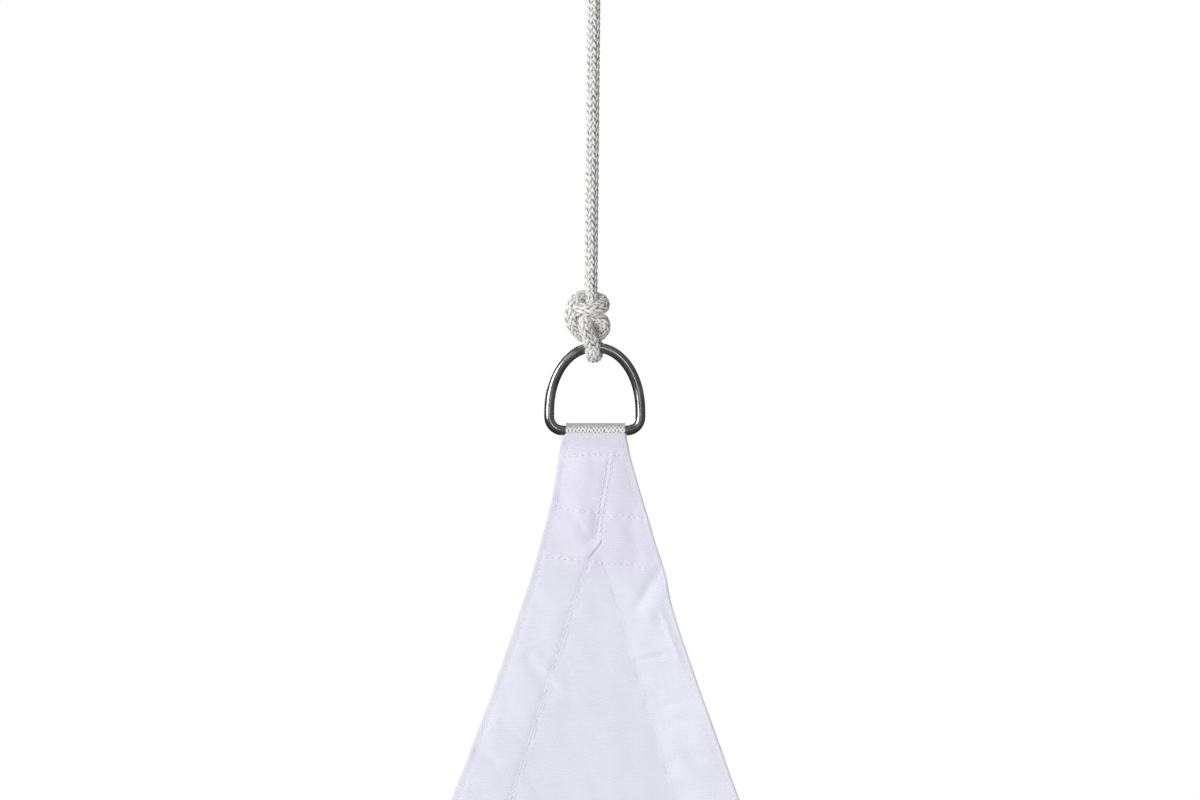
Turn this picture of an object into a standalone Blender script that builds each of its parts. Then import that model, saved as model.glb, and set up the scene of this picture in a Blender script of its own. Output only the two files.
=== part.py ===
# A triangular shade sail, stretched flat in the XZ plane, with its upper corner tied to a rope.
# The folded hems are on the -Y face. The origin is the inside of the top of the rope's end eye,
# where a hook would hold it. Sizes are in metres.

import math

import bmesh
import bpy
from mathutils import Matrix, Vector

# Sail cloth
SIDE = 2.000                # from corner to corner, in a straight line
SIDE_SAG = 0.080            # how far the middle of a side curves in
CLOTH_THICK = 0.0012
HEM_WIDTH = 0.029
HEM_LAYER = 0.0010          # what a folded hem adds to the front
LEDGE_LAYER = 0.0008        # the left hem lies over the right one in a corner
LEDGE_RUN = 0.0006          # width of the slope at a hem's raw edge
FOLDED_EDGE = 0.8           # a folded edge is this share as thick as its hem
CORNER_FLARE = 0.0147       # half width that a corner has beyond the bare wedge of cloth
FLARE_LENGTH = 0.140
FLARE_POWER = 1.8
WEDGE_RISE = 0.005          # the sides would meet this far above the corner's cut edge
HEMS_CROSS = 0.064          # below a corner's cut edge, where its two hems part
HEMS_APART = 0.004          # bare panel between them there
LEDGE_TOP_T = 0.0075        # how far right the left hem's raw edge leans near the cut edge
SEAM_TOP = 0.0125           # below the cut edge, where that raw edge is caught by stitches
POCKET_WALL = 0.0011        # cloth over each face of the webbing
LAYER_STEP_DOWN = 0.012     # length of the slope where a corner's layers end
HEM_COLUMNS = (0.0, 0.045, 0.36, 0.68, 1.0)     # shares of the hem, from its folded edge
PANEL_HALF_COLUMNS = 4

# Slack in the cloth
BELLY = 0.020               # how far the middle of the sail stands out to the front
PULL_FOLD = 0.0065          # height of the folds that run from each corner
PULL_WAVES = 13.0           # folds in each radian round a corner
FOLD_SHIFT = 0.9            # turns the folds of one corner against those of the next
FOLD_START = 0.16
FOLD_FULL = 0.50
FOLD_FADE = 0.72
FOLD_END = 1.02

# D-ring of round wire. Its sizes are on the wire's centreline.
WIRE_RADIUS = 0.0025
RING_HALF_WIDTH = 0.023
RING_HEIGHT = 0.041
RING_WIDEST = 0.009         # above the bar
RING_FILLET = 0.0075
ARCH_STEPS = 26
FILLET_STEPS = 4

# Webbing loop
WEB_WIDTH = 0.0290
WEB_THICK = 0.0010
WEB_JOIN = 0.009            # below the bar, where the two legs meet
WEB_LEG = 0.062             # below the bar, where they end
WEB_CROTCH = 0.0068         # below the bar, where the space between the legs ends
GAP = 0.0003

# Rope
ROPE_RADIUS = 0.0031
KNOT_X = -0.0037            # the knots stand to the left of the sail's axis
KNOT_HALF = 0.0130          # half height of a knot
EYE_HEIGHT = 0.028          # from a knot's top to the eye's top, on the centreline
EYE_RADIUS = 0.011
TURN_RADIUS = 0.0063        # of the turn round the ring's wire, on the rope's centreline
STRAIGHT_STEPS = 10

# Heights
BAR_Z = -0.275
RING_KNOT_Z = -0.2188
END_KNOT_Z = ROPE_RADIUS - EYE_HEIGHT - KNOT_HALF

CUT_EDGE_Z = BAR_Z - 0.00125
CENTRE_Z = CUT_EDGE_Z + WEDGE_RISE - SIDE / math.sqrt(3.0)
CORNERS = {"top": 0.0, "left": -120.0, "right": 120.0}     # turned about the sail's centre
ROWS = {                    # of the cloth's mesh: first step, where steps start to grow, growth
    "top": {"step": 0.0050, "even": 0.150, "growth": 1.22},
    "left": {"step": 0.0095, "even": 0.080, "growth": 1.28},
    "right": {"step": 0.0095, "even": 0.080, "growth": 1.28},
}

# Soft creases of the upper corner, each from one place to another: (across, down) from its cut edge
CREASES = (
    {"from": (0.029, 0.071), "to": (0.020, 0.089), "width": 0.0040, "depth": 0.0009},
    {"from": (0.025, 0.112), "to": (0.037, 0.110), "width": 0.0040, "depth": 0.0007},
    {"from": (0.031, 0.138), "to": (0.042, 0.135), "width": 0.0045, "depth": 0.0006},
    {"from": (-0.030, 0.114), "to": (-0.023, 0.130), "width": 0.0040, "depth": 0.0007},
    {"from": (-0.060, 0.156), "to": (-0.050, 0.167), "width": 0.0050, "depth": 0.0007},
    {"from": (-0.018, 0.034), "to": (-0.008, 0.049), "width": 0.0040, "depth": 0.0006},
)

# The rope's route through a knot, from the straight rope down to the loop, and from the loop back
# up and round: x right, y back, z towards the straight rope, from the knot's centre.
KNOT_DOWN = (
    (0.0021, 0.0000, 0.0130), (0.0020, 0.0001, 0.0105), (0.0015, 0.0005, 0.0065),
    (0.0011, 0.0008, 0.0015), (0.0010, 0.0011, -0.0035), (0.0018, 0.0022, -0.0076),
    (0.0036, 0.0045, -0.0109),
)
KNOT_ROUND = (
    (0.0000, -0.0070, -0.0096), (-0.0014, -0.0076, -0.0050), (-0.0015, -0.0077, -0.0006),
    (0.0012, -0.0076, 0.0020), (0.0050, -0.0063, 0.0014), (0.0080, -0.0028, -0.0014),
    (0.0086, 0.0016, -0.0038), (0.0066, 0.0062, -0.0052), (0.0020, 0.0086, -0.0062),
    (-0.0036, 0.0078, -0.0080), (-0.0076, 0.0038, -0.0082), (-0.0090, -0.0006, -0.0042),
    (-0.0089, -0.0028, 0.0016), (-0.0074, -0.0046, 0.0066), (-0.0028, -0.0068, 0.0094),
    (0.0032, -0.0064, 0.0088), (0.0079, -0.0026, 0.0069), (0.0078, 0.0034, 0.0050),
    (-0.0004, 0.0086, 0.0024), (-0.0038, 0.0078, 0.0022), (-0.0058, 0.0056, 0.0008),
    (-0.0054, 0.0034, -0.0013),
)
# Where it turns under the ring's wire: degrees round the wire, and x from the ring's middle
RING_TURN = ((0.0, 0.0020), (-35.0, 0.0015), (-65.0, 0.0008), (-90.0, 0.0), (-115.0, -0.0008),
             (-145.0, -0.0015), (-180.0, -0.0022))
EYE_TURN = (35.0, 0.0, -32.0, -62.0, -90.0, -118.0, -148.0, -180.0, -215.0)
EYE_LEG_BACK = ((0.0056, 0.0046, -0.0155), (0.0090, 0.0032, -0.0200))
EYE_LEG_FRONT = ((-0.0018, -0.0032, -0.0200), (-0.0004, -0.0056, -0.0148))
EYE_LEAN = 0.0012


def clear_scene():
    for obj in list(bpy.data.objects):
        bpy.data.objects.remove(obj, do_unlink=True)


def make_material(name, colour, roughness, metallic=0.0):
    material = bpy.data.materials.new(name)
    material.use_nodes = True
    shader = material.node_tree.nodes["Principled BSDF"]
    shader.inputs["Base Color"].default_value = (*colour, 1.0)
    shader.inputs["Roughness"].default_value = roughness
    shader.inputs["Metallic"].default_value = metallic
    material.diffuse_color = (*colour, 1.0)
    return material


def add_object(name, data, material):
    obj = bpy.data.objects.new(name, data)
    bpy.context.scene.collection.objects.link(obj)
    data.materials.append(material)
    return obj


def finish_mesh(name, mesh):
    bmesh.ops.remove_doubles(mesh, verts=mesh.verts, dist=1e-6)
    bmesh.ops.recalc_face_normals(mesh, faces=mesh.faces)
    data = bpy.data.meshes.new(name)
    mesh.to_mesh(data)
    mesh.free()
    data.shade_smooth()
    data.set_sharp_from_angle(angle=math.radians(35.0))
    return data


def smoothstep(low, high, value):
    x = min(1.0, max(0.0, (value - low) / (high - low)))
    return x * x * (3.0 - 2.0 * x)


def mix(a, b, share):
    return a + (b - a) * share


def corner_matrix(corner):
    """From a corner's own frame, with X across and Z up from its bar, to the sail's."""
    centre = Vector((0.0, 0.0, CENTRE_Z))
    turn = Matrix.Rotation(math.radians(CORNERS[corner]), 4, "Y")
    bar = Matrix.Translation((0.0, 0.0, BAR_Z))
    return Matrix.Translation(centre) @ turn @ Matrix.Translation(-centre) @ bar


# The cloth's plan, in a corner's frame: t across to the right, s down from its cut edge.

def edge_point(x):
    """Right-hand edge at x along the straight line between two corners."""
    inward = 4.0 * SIDE_SAG * (x / SIDE) * (1.0 - x / SIDE)
    lean = math.radians(30.0)
    t = x * math.sin(lean) - inward * math.cos(lean)
    s = x * math.cos(lean) + inward * math.sin(lean) - WEDGE_RISE
    flare = CORNER_FLARE * max(0.0, 1.0 - s / FLARE_LENGTH) ** FLARE_POWER
    return Vector((t + flare, s))


def row_places(step, even, growth):
    """Places of the rows along a side: even near the corner, then wider and wider."""
    middle = SIDE / 2.0
    slope = (edge_point(step).y - edge_point(0.0).y) / step
    places = [WEDGE_RISE / slope]
    while places[-1] + step * 1.5 < middle:
        places.append(places[-1] + step)
        if places[-1] > even:
            step *= growth
    places.append(middle)
    return places


def row_points(x):
    """One row of the plan, left to right, each point with its band of cloth."""
    edge = edge_point(x)
    along = (edge_point(x + 1e-4) - edge_point(x - 1e-4)).normalized()
    inward = Vector((-along.y, along.x))
    to_centre = SIDE / math.sqrt(3.0) - WEDGE_RISE - edge_point(SIDE / 2.0).y
    middle = Vector((0.0, edge.y + to_centre * (2.0 * x / SIDE) ** 2))
    across = (middle - edge).normalized()
    right_raw = edge + across * (HEM_WIDTH / across.dot(inward))
    left_edge = Vector((-edge.x, edge.y))
    left_raw = Vector((-right_raw.x, right_raw.y))
    if right_raw.x < HEMS_APART / 2.0:
        rise = (HEMS_CROSS - edge.y) / (HEMS_CROSS - SEAM_TOP)
        rise = min(1.0, max(0.0, rise))
        left_raw = Vector((mix(-HEMS_APART / 2.0, LEDGE_TOP_T, rise), edge.y))
        right_raw = left_raw + Vector((HEMS_APART, 0.0))
        middle = (left_raw + right_raw) / 2.0
    left_foot = left_raw + (middle - left_raw).normalized() * LEDGE_RUN
    right_foot = right_raw + (middle - right_raw).normalized() * LEDGE_RUN
    halves = [i / PANEL_HALF_COLUMNS for i in range(PANEL_HALF_COLUMNS)]
    points = [(left_edge.lerp(left_raw, share), "over") for share in HEM_COLUMNS]
    points += [(left_foot.lerp(middle, share), "panel") for share in halves]
    points += [(middle.lerp(right_foot, share), "panel") for share in halves + [1.0]]
    points += [(edge.lerp(right_raw, share), "hem") for share in reversed(HEM_COLUMNS)]
    return points


# The cloth's thickness, in the same frame. Front and back are distances from its middle plane.

def loop_tangent():
    """Where the webbing leaves its round part for the meeting of its legs: (y, down)."""
    radius = WIRE_RADIUS + GAP + WEB_THICK
    reach = math.hypot(WEB_THICK, WEB_JOIN)
    angle = math.acos(radius / reach) + math.atan2(WEB_THICK, WEB_JOIN)
    return Vector((radius * math.sin(angle), radius * math.cos(angle)))


def webbing_half(down):
    """Half thickness of the webbing this far below the bar."""
    tangent = loop_tangent()
    share = (down - tangent.y) / (WEB_JOIN - tangent.y)
    return max(WEB_THICK, mix(tangent.x, WEB_THICK, share))


def crease_depth(point):
    depth = 0.0
    for crease in CREASES:
        start = Vector(crease["from"])
        run = Vector(crease["to"]) - start
        share = min(1.0, max(0.0, (point - start).dot(run) / run.length_squared))
        away = (point - start - run * share).length
        depth += crease["depth"] * math.exp(-(away / crease["width"]) ** 2)
    return depth


def layers(point, band, creased):
    """Front and back of the cloth at one point of the plan."""
    down = point.y
    corner = 1.0 - smoothstep(WEB_LEG, WEB_LEG + LAYER_STEP_DOWN, down)
    bare = CLOTH_THICK / 2.0
    over_webbing = webbing_half(down + BAR_Z - CUT_EDGE_Z) + GAP + POCKET_WALL
    front = mix(bare + HEM_LAYER, over_webbing, corner)
    if band == "panel":
        front = mix(front, bare, smoothstep(HEMS_CROSS - 0.001, HEMS_CROSS + 0.003, down))
    if band == "over":
        ledge = 1.0 - smoothstep(HEMS_CROSS, HEMS_CROSS + LAYER_STEP_DOWN, down)
        front += LEDGE_LAYER * ledge * smoothstep(0.0, SEAM_TOP, down)
    if creased and band != "panel":
        front -= crease_depth(point)
    return front, mix(bare, over_webbing, corner)


def slack(x, z):
    """How far the stretched cloth leaves the XZ plane, to the back."""
    height = SIDE * math.sqrt(3.0) / 2.0
    belly = 27.0
    folds = 0.0
    for index, degrees in enumerate(CORNERS.values()):
        angle = math.radians(degrees)
        out = Vector((math.sin(angle), math.cos(angle)))
        aside = Vector((out.y, -out.x))
        away = Vector((x, z - CENTRE_Z)) - out * (SIDE / math.sqrt(3.0))
        belly *= max(0.0, 1.0 + away.dot(out) / height)
        turn = math.atan2(away.dot(aside), -away.dot(out))
        grow = smoothstep(FOLD_START, FOLD_FULL, away.length)
        fade = 1.0 - smoothstep(FOLD_FADE, FOLD_END, away.length)
        folds += PULL_FOLD * grow * fade * math.cos(PULL_WAVES * turn + FOLD_SHIFT * index)
    return folds - BELLY * smoothstep(0.0, 1.0, belly)


def add_sector(mesh, corner):
    """The third of the cloth nearest one corner: its front, its back and its rim."""
    place = corner_matrix(corner)
    fronts = []
    backs = []
    for x in row_places(**ROWS[corner]):
        fronts.append([])
        backs.append([])
        points = row_points(x)
        for column, (point, band) in enumerate(points):
            flat = place @ Vector((point.x, 0.0, CUT_EDGE_Z - BAR_Z - point.y))
            front, back = layers(point, band, corner == "top")
            if column in (0, len(points) - 1):
                front *= FOLDED_EDGE
                back *= FOLDED_EDGE
            lean = slack(flat.x, flat.z)
            fronts[-1].append(mesh.verts.new((flat.x, lean - front, flat.z)))
            backs[-1].append(mesh.verts.new((flat.x, lean + back, flat.z)))
    last = len(fronts[0]) - 1
    for row in range(len(fronts) - 1):
        for side in (fronts, backs):
            for column in range(last):
                mesh.faces.new((side[row][column], side[row][column + 1],
                                side[row + 1][column + 1], side[row + 1][column]))
        for column in (0, last):
            mesh.faces.new((fronts[row][column], fronts[row + 1][column],
                            backs[row + 1][column], backs[row][column]))
    for column in range(last):
        mesh.faces.new((fronts[0][column], fronts[0][column + 1],
                        backs[0][column + 1], backs[0][column]))


# Solids drawn out along X, for the webbing and for what it needs in the cloth

def arc(radius, start, steps):
    """Points over the top of a circle, from one side to the other, in the YZ plane."""
    angles = [mix(start, math.pi - start, i / steps) for i in range(steps + 1)]
    return [(radius * math.cos(angle), radius * math.sin(angle)) for angle in angles]


def webbing_outline(grow):
    """Section of the folded webbing, grown by a clearance."""
    tangent = loop_tangent()
    half = WEB_THICK + grow
    outline = arc(WIRE_RADIUS + GAP + half, math.atan2(-tangent.y, tangent.x), 14)
    outline.append((-half, -WEB_JOIN))
    outline.append((-half, -WEB_LEG - grow))
    outline.append((half, -WEB_LEG - grow))
    outline.append((half, -WEB_JOIN))
    return outline


def bar_eye_outline():
    """Section of the space inside the loop: round, with a wedge below it."""
    radius = WIRE_RADIUS + GAP
    outline = arc(radius, -math.asin(radius / WEB_CROTCH), 12)
    outline.append((0.0, -WEB_CROTCH))
    return outline


def drawn_out(name, outline, half_width):
    mesh = bmesh.new()
    face = mesh.faces.new([mesh.verts.new((-half_width, y, z)) for y, z in outline])
    drawn = bmesh.ops.extrude_face_region(mesh, geom=[face])
    moved = [item for item in drawn["geom"] if isinstance(item, bmesh.types.BMVert)]
    bmesh.ops.translate(mesh, verts=moved, vec=(2.0 * half_width, 0.0, 0.0))
    return finish_mesh(name, mesh)


def cut(target, name, data, matrix):
    """Cuts the target with a guide that isn't part of the sail."""
    guide = bpy.data.objects.new(name, data)
    bpy.context.scene.collection.objects.link(guide)
    guide.matrix_world = matrix
    guide.hide_render = True
    guide.display_type = "WIRE"
    modifier = target.modifiers.new(name, "BOOLEAN")
    modifier.operation = "DIFFERENCE"
    modifier.object = guide
    modifier.solver = "EXACT"


def make_sail(material):
    mesh = bmesh.new()
    for corner in CORNERS:
        add_sector(mesh, corner)
    sail = add_object("sail_cloth", finish_mesh("sail_cloth", mesh), material)
    pocket = drawn_out("pocket", webbing_outline(GAP), WEB_WIDTH / 2.0 + GAP)
    rod = bmesh.new()
    room_radius = WIRE_RADIUS + 1.6 * GAP
    bmesh.ops.create_cone(rod, cap_ends=True, segments=20, depth=3.0 * RING_HALF_WIDTH,
                          radius1=room_radius, radius2=room_radius,
                          matrix=Matrix.Rotation(math.radians(90.0), 4, "Y"))
    bar_room = finish_mesh("bar_room", rod)
    for corner in CORNERS:
        cut(sail, "pocket_" + corner, pocket, corner_matrix(corner))
        cut(sail, "bar_room_" + corner, bar_room, corner_matrix(corner))


def make_webbing(material):
    strap = drawn_out("corner_loop", webbing_outline(0.0), WEB_WIDTH / 2.0)
    bar_eye = drawn_out("bar_eye", bar_eye_outline(), WEB_WIDTH)
    for corner in CORNERS:
        loop = add_object("corner_loop_" + corner, strap.copy(), material)
        loop.matrix_world = corner_matrix(corner)
        cut(loop, "bar_eye_" + corner, bar_eye, corner_matrix(corner))


# Round things: rings and rope

def tube_curve(name, points, radius, detail, closed=False):
    """A round tube through the points, as a curve with a bevel."""
    curve = bpy.data.curves.new(name, "CURVE")
    curve.dimensions = "3D"
    curve.bevel_depth = radius
    curve.bevel_resolution = detail
    curve.use_fill_caps = True
    spline = curve.splines.new("POLY")
    spline.points.add(len(points) - 1)
    for target, point in zip(spline.points, points):
        target.co = (*point, 1.0)
    spline.use_cyclic_u = closed
    spline.use_smooth = True
    return curve


def smooth_path(points, per_span=2):
    """A smooth curve through the points."""
    ends = [2.0 * points[0] - points[1]] + points + [2.0 * points[-1] - points[-2]]
    path = []
    for i in range(len(points) - 1):
        a, b, c, d = ends[i:i + 4]
        for k in range(per_span):
            u = k / per_span
            path.append(0.5 * (2.0 * b + (c - a) * u + (2.0 * a - 5.0 * b + 4.0 * c - d) * u ** 2
                               + (3.0 * b - a - 3.0 * c + d) * u ** 3))
    path.append(points[-1])
    return path


def ring_points():
    """Centreline of the D-ring: straight bar, two fillets and a half ellipse."""
    inset = RING_HALF_WIDTH - RING_FILLET
    arch_height = RING_HEIGHT - RING_WIDEST
    right = []
    for i in range(FILLET_STEPS + 1):
        angle = math.radians(90.0 * (i / FILLET_STEPS - 1.0))
        right.append(Vector((inset + RING_FILLET * math.cos(angle), 0.0,
                             RING_FILLET * (1.0 + math.sin(angle)))))
    left = [Vector((-point.x, 0.0, point.z)) for point in reversed(right)]
    arch = []
    for i in range(ARCH_STEPS + 1):
        angle = math.pi * i / ARCH_STEPS
        arch.append(Vector((RING_HALF_WIDTH * math.cos(angle), 0.0,
                            RING_WIDEST + arch_height * math.sin(angle))))
    return right + arch + left


def make_rings(material):
    wire = tube_curve("d_ring", ring_points(), WIRE_RADIUS, 4, closed=True)
    for corner in CORNERS:
        ring = add_object("d_ring_" + corner, wire.copy(), material)
        ring.matrix_world = corner_matrix(corner)


def ring_turn():
    """The route round the ring's wire, in the ring knot's frame."""
    apex = Vector((-KNOT_X, 0.0, BAR_Z + RING_HEIGHT - RING_KNOT_Z))
    route = []
    for degrees, x in RING_TURN:
        angle = math.radians(degrees)
        fall = (RING_HEIGHT - RING_WIDEST) * (1.0 - math.sqrt(1.0 - (x / RING_HALF_WIDTH) ** 2))
        route.append(apex + Vector((x, TURN_RADIUS * math.cos(angle),
                                    TURN_RADIUS * math.sin(angle) - fall)))
    return route


def eye_turn():
    """The route round the open eye, in the end knot's frame."""
    centre = Vector((-KNOT_X, 0.0, EYE_RADIUS - KNOT_HALF - EYE_HEIGHT))
    route = [Vector(point) for point in EYE_LEG_BACK]
    for degrees in EYE_TURN:
        angle = math.radians(degrees)
        lean = math.copysign(EYE_LEAN * abs(math.cos(angle)), math.cos(angle))
        route.append(centre + Vector((EYE_RADIUS * math.cos(angle), lean,
                                      EYE_RADIUS * math.sin(angle))))
    return route + [Vector(point) for point in EYE_LEG_FRONT]


def make_knot(name, height, upside_down, turn, material):
    down = [Vector(point) for point in KNOT_DOWN]
    up = [Vector(point) for point in KNOT_ROUND]
    knot = add_object(name, tube_curve(name, smooth_path(down + turn + up), ROPE_RADIUS, 3), material)
    knot.location = (KNOT_X, 0.0, height)
    knot.rotation_euler = (math.pi if upside_down else 0.0, 0.0, 0.0)


def make_rope(material):
    make_knot("ring_knot", RING_KNOT_Z, False, ring_turn(), material)
    make_knot("end_knot", END_KNOT_Z, True, eye_turn(), material)
    low = RING_KNOT_Z + KNOT_HALF + GAP
    high = END_KNOT_Z - KNOT_HALF - GAP
    x = KNOT_X + KNOT_DOWN[0][0]
    line = [Vector((x, 0.0, mix(low, high, i / STRAIGHT_STEPS))) for i in range(STRAIGHT_STEPS + 1)]
    add_object("rope", tube_curve("rope", line, ROPE_RADIUS, 4), material)


def build():
    clear_scene()
    make_sail(make_material("lilac white polyester", (0.78, 0.77, 0.86), 0.85))
    make_webbing(make_material("white woven webbing", (0.60, 0.60, 0.60), 0.80))
    make_rings(make_material("polished steel", (0.30, 0.30, 0.31), 0.12, 1.0))
    make_rope(make_material("white braided rope", (0.62, 0.61, 0.59), 0.65))


build()
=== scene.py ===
import math

import bpy
import numpy as np
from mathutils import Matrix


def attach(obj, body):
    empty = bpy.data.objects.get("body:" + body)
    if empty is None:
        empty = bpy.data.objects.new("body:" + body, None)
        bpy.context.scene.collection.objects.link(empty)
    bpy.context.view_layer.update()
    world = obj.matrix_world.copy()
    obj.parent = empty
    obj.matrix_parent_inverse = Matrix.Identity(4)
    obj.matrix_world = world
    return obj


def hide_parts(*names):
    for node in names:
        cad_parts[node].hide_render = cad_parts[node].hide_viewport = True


# A triangular shade sail that hangs by its upper corner from a braided rope. Metres, Z up.
# The folded hems are on the -Y face. Each corner is drawn in its own flat frame: across is
# to the right and down is away from the ring, from the cloth's cut edge.

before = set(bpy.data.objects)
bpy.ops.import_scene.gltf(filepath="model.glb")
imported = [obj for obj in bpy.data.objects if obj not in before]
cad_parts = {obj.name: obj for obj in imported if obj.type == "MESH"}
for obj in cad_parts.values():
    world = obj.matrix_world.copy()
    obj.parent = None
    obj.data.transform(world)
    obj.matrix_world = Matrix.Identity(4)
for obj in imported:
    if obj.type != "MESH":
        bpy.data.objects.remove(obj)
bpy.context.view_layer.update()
print("frame loaded,", len(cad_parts), "nodes")

mm = 0.001
scene = bpy.context.scene


# Small tools

def toLinear(hexColour):
    channels = [int(hexColour[i:i + 2], 16) / 255.0 for i in (1, 3, 5)]
    linear = [c / 12.92 if c <= 0.04045 else ((c + 0.055) / 1.055) ** 2.4 for c in channels]
    return (*linear, 1.0)


def addNode(tree, kind, values=None, links=None, stops=None, **settings):
    # A link from a node is from its first output. Stops are a colour ramp's places and colours.
    node = tree.nodes.new("ShaderNode" + kind)
    for name, value in settings.items():
        setattr(node, name, value)
    for socket, value in (values or {}).items():
        node.inputs[socket].default_value = value
    for socket, source in (links or {}).items():
        output = source.outputs[0] if hasattr(source, "outputs") else source
        tree.links.new(output, node.inputs[socket])
    if stops:
        ramp = node.color_ramp.elements
        for place in list(stops)[1:-1]:
            ramp.new(place)
        for stop, (place, hexColour) in zip(ramp, stops.items()):
            stop.position = place
            stop.color = toLinear(hexColour)
    return node


def startMaterial(name):
    # Place is the link that lays a pattern out in the piece's own metres
    material = bpy.data.materials.new(name)
    material.use_nodes = True
    tree = material.node_tree
    tree.nodes.clear()
    place = {"Vector": addNode(tree, "TexCoord").outputs["Object"]}
    return material, tree, place


def bandScale(pitch):
    return 2.0 * math.pi / (20.0 * pitch)      # a Wave texture turns 20 radians for each unit


def smoothStep(low, high, value):
    x = np.clip((value - low) / (high - low), 0.0, 1.0)
    return x * x * (3.0 - 2.0 * x)


def fadeOut(low, high, value):
    return 1.0 - smoothStep(low, high, value)


def within(span, value):
    # 1 inside a span and 0 outside it. Span: where it starts, is full, starts to fade and ends
    start, full, fading, end = span
    return smoothStep(start, full, value) * fadeOut(fading, end, value)


def unit(vectors):
    return vectors / np.linalg.norm(vectors, axis=1)[:, None]


def hump(away, width):
    return np.exp(-(away / width) ** 2)


def mix(a, b, share):
    return a + (b - a) * share


def ripple(across, down, length, seed):
    # Soft uneven waves, from about -1 to 1
    rng = np.random.default_rng(seed)
    waves = 7
    total = 0.0
    for _ in range(waves):
        angle, phase = rng.uniform(0.0, 2.0 * math.pi, 2)
        step = length * rng.uniform(0.7, 1.5)
        run = across * math.cos(angle) + down * math.sin(angle)
        total = total + np.sin(run * 2.0 * math.pi / step + phase)
    return total / math.sqrt(waves)


def runLength(points):
    # Length of a line from its start to each of its points
    return np.concatenate([[0.0], np.cumsum(np.linalg.norm(np.diff(points, axis=0), axis=1))])


def pointsAt(places, length, points):
    return np.stack([np.interp(places, length, column) for column in points.T], axis=1)


def circleOf(first, second, sides):
    # Directions all round a line, from two that are square to it
    angle = 2.0 * math.pi * np.arange(sides) / sides
    return (first[:, None, :] * np.cos(angle)[None, :, None]
            + second[:, None, :] * np.sin(angle)[None, :, None])


def gridFaces(rows, columns, closedColumns=False, start=0):
    row = np.arange(rows - 1)[:, None] * columns + start
    column = np.arange(columns if closedColumns else columns - 1)[None, :]
    following = (column + 1) % columns
    return np.stack([row + column, row + following, row + columns + following,
                     row + columns + column], axis=-1).reshape(-1, 4)


def tubeFaces(rings, sides):
    faces = gridFaces(rings, sides, closedColumns=True).tolist()
    faces.append(list(range(sides))[::-1])
    faces.append([(rings - 1) * sides + i for i in range(sides)])
    return faces


def addPiece(name, points, faces, material, shades=None):
    mesh = bpy.data.meshes.new(name)
    mesh.from_pydata(points.reshape(-1, 3).tolist(), [], [list(map(int, face)) for face in faces])
    if shades is not None:
        layer = mesh.attributes.new("shade", "FLOAT", "POINT")
        layer.data.foreach_set("value", shades.reshape(-1).astype(np.float32))
    mesh.materials.append(material)
    mesh.shade_smooth()
    mesh.validate()
    piece = bpy.data.objects.new(name, mesh)
    scene.collection.objects.link(piece)
    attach(piece, "root")
    return piece


# Camera

view = {"across": 2.25 * mm, "height": -260.25 * mm, "away": 2.0, "lens": 120.0, "sensor": 36.0}

cameraData = bpy.data.cameras.new("camera")
cameraData.lens = view["lens"]
cameraData.sensor_width = view["sensor"]
camera = bpy.data.objects.new("camera", cameraData)
camera.location = (view["across"], -view["away"], view["height"])
camera.rotation_euler = (math.radians(90.0), 0.0, 0.0)
scene.collection.objects.link(camera)
scene.camera = camera
# Keeps the near-white cloth apart from white
scene.view_settings.view_transform = "Standard"
print("camera placed")


# Rope

rope = {
    "radius": 3.45 * mm,
    "carriers": 10,              # yarns that wind each way
    "yarnPitch": 3.465 * mm,     # from one yarn to the next, along the rope
    "yarnRise": 0.75 * mm,       # from the bottom of a gap to the top of a yarn
    "yarnBow": 4.4,              # how sharply a yarn rounds off to its sides
    "climb": 0.45,               # how much of its height a yarn gains where it passes over another
    "gap": 0.40,                 # where the gaps bottom out, as a share of that height
    "dive": 0.72,                # how much of the relief the marks between the yarns take
    "knotDive": 0.45,
    "markWidth": 0.45,           # half width of a mark, in yarns
    "oddMarks": 0.20,            # how much deeper every other line of marks is
    "braidTurn": 0.164,          # places the braid's lines round the rope, as a share of a turn
    "braidSeat": 2.04 * mm,      # and along it
    "sides": 60,
    "step": 0.36 * mm,
    "endTaper": 0.35,            # how much the rope's cut end narrows
    "endRound": 0.5 * mm,        # and over what length
    "knotX": -3.7 * mm,
    "knotHalf": 13.3 * mm,
    "ringEntry": 1.4 * mm,       # where the rope enters each knot, right of its centre, so it leans a little
    "endEntry": 2.9 * mm,
    "ringKnotZ": -218.8 * mm,
    "endKnotZ": -37.9 * mm,
}
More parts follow.
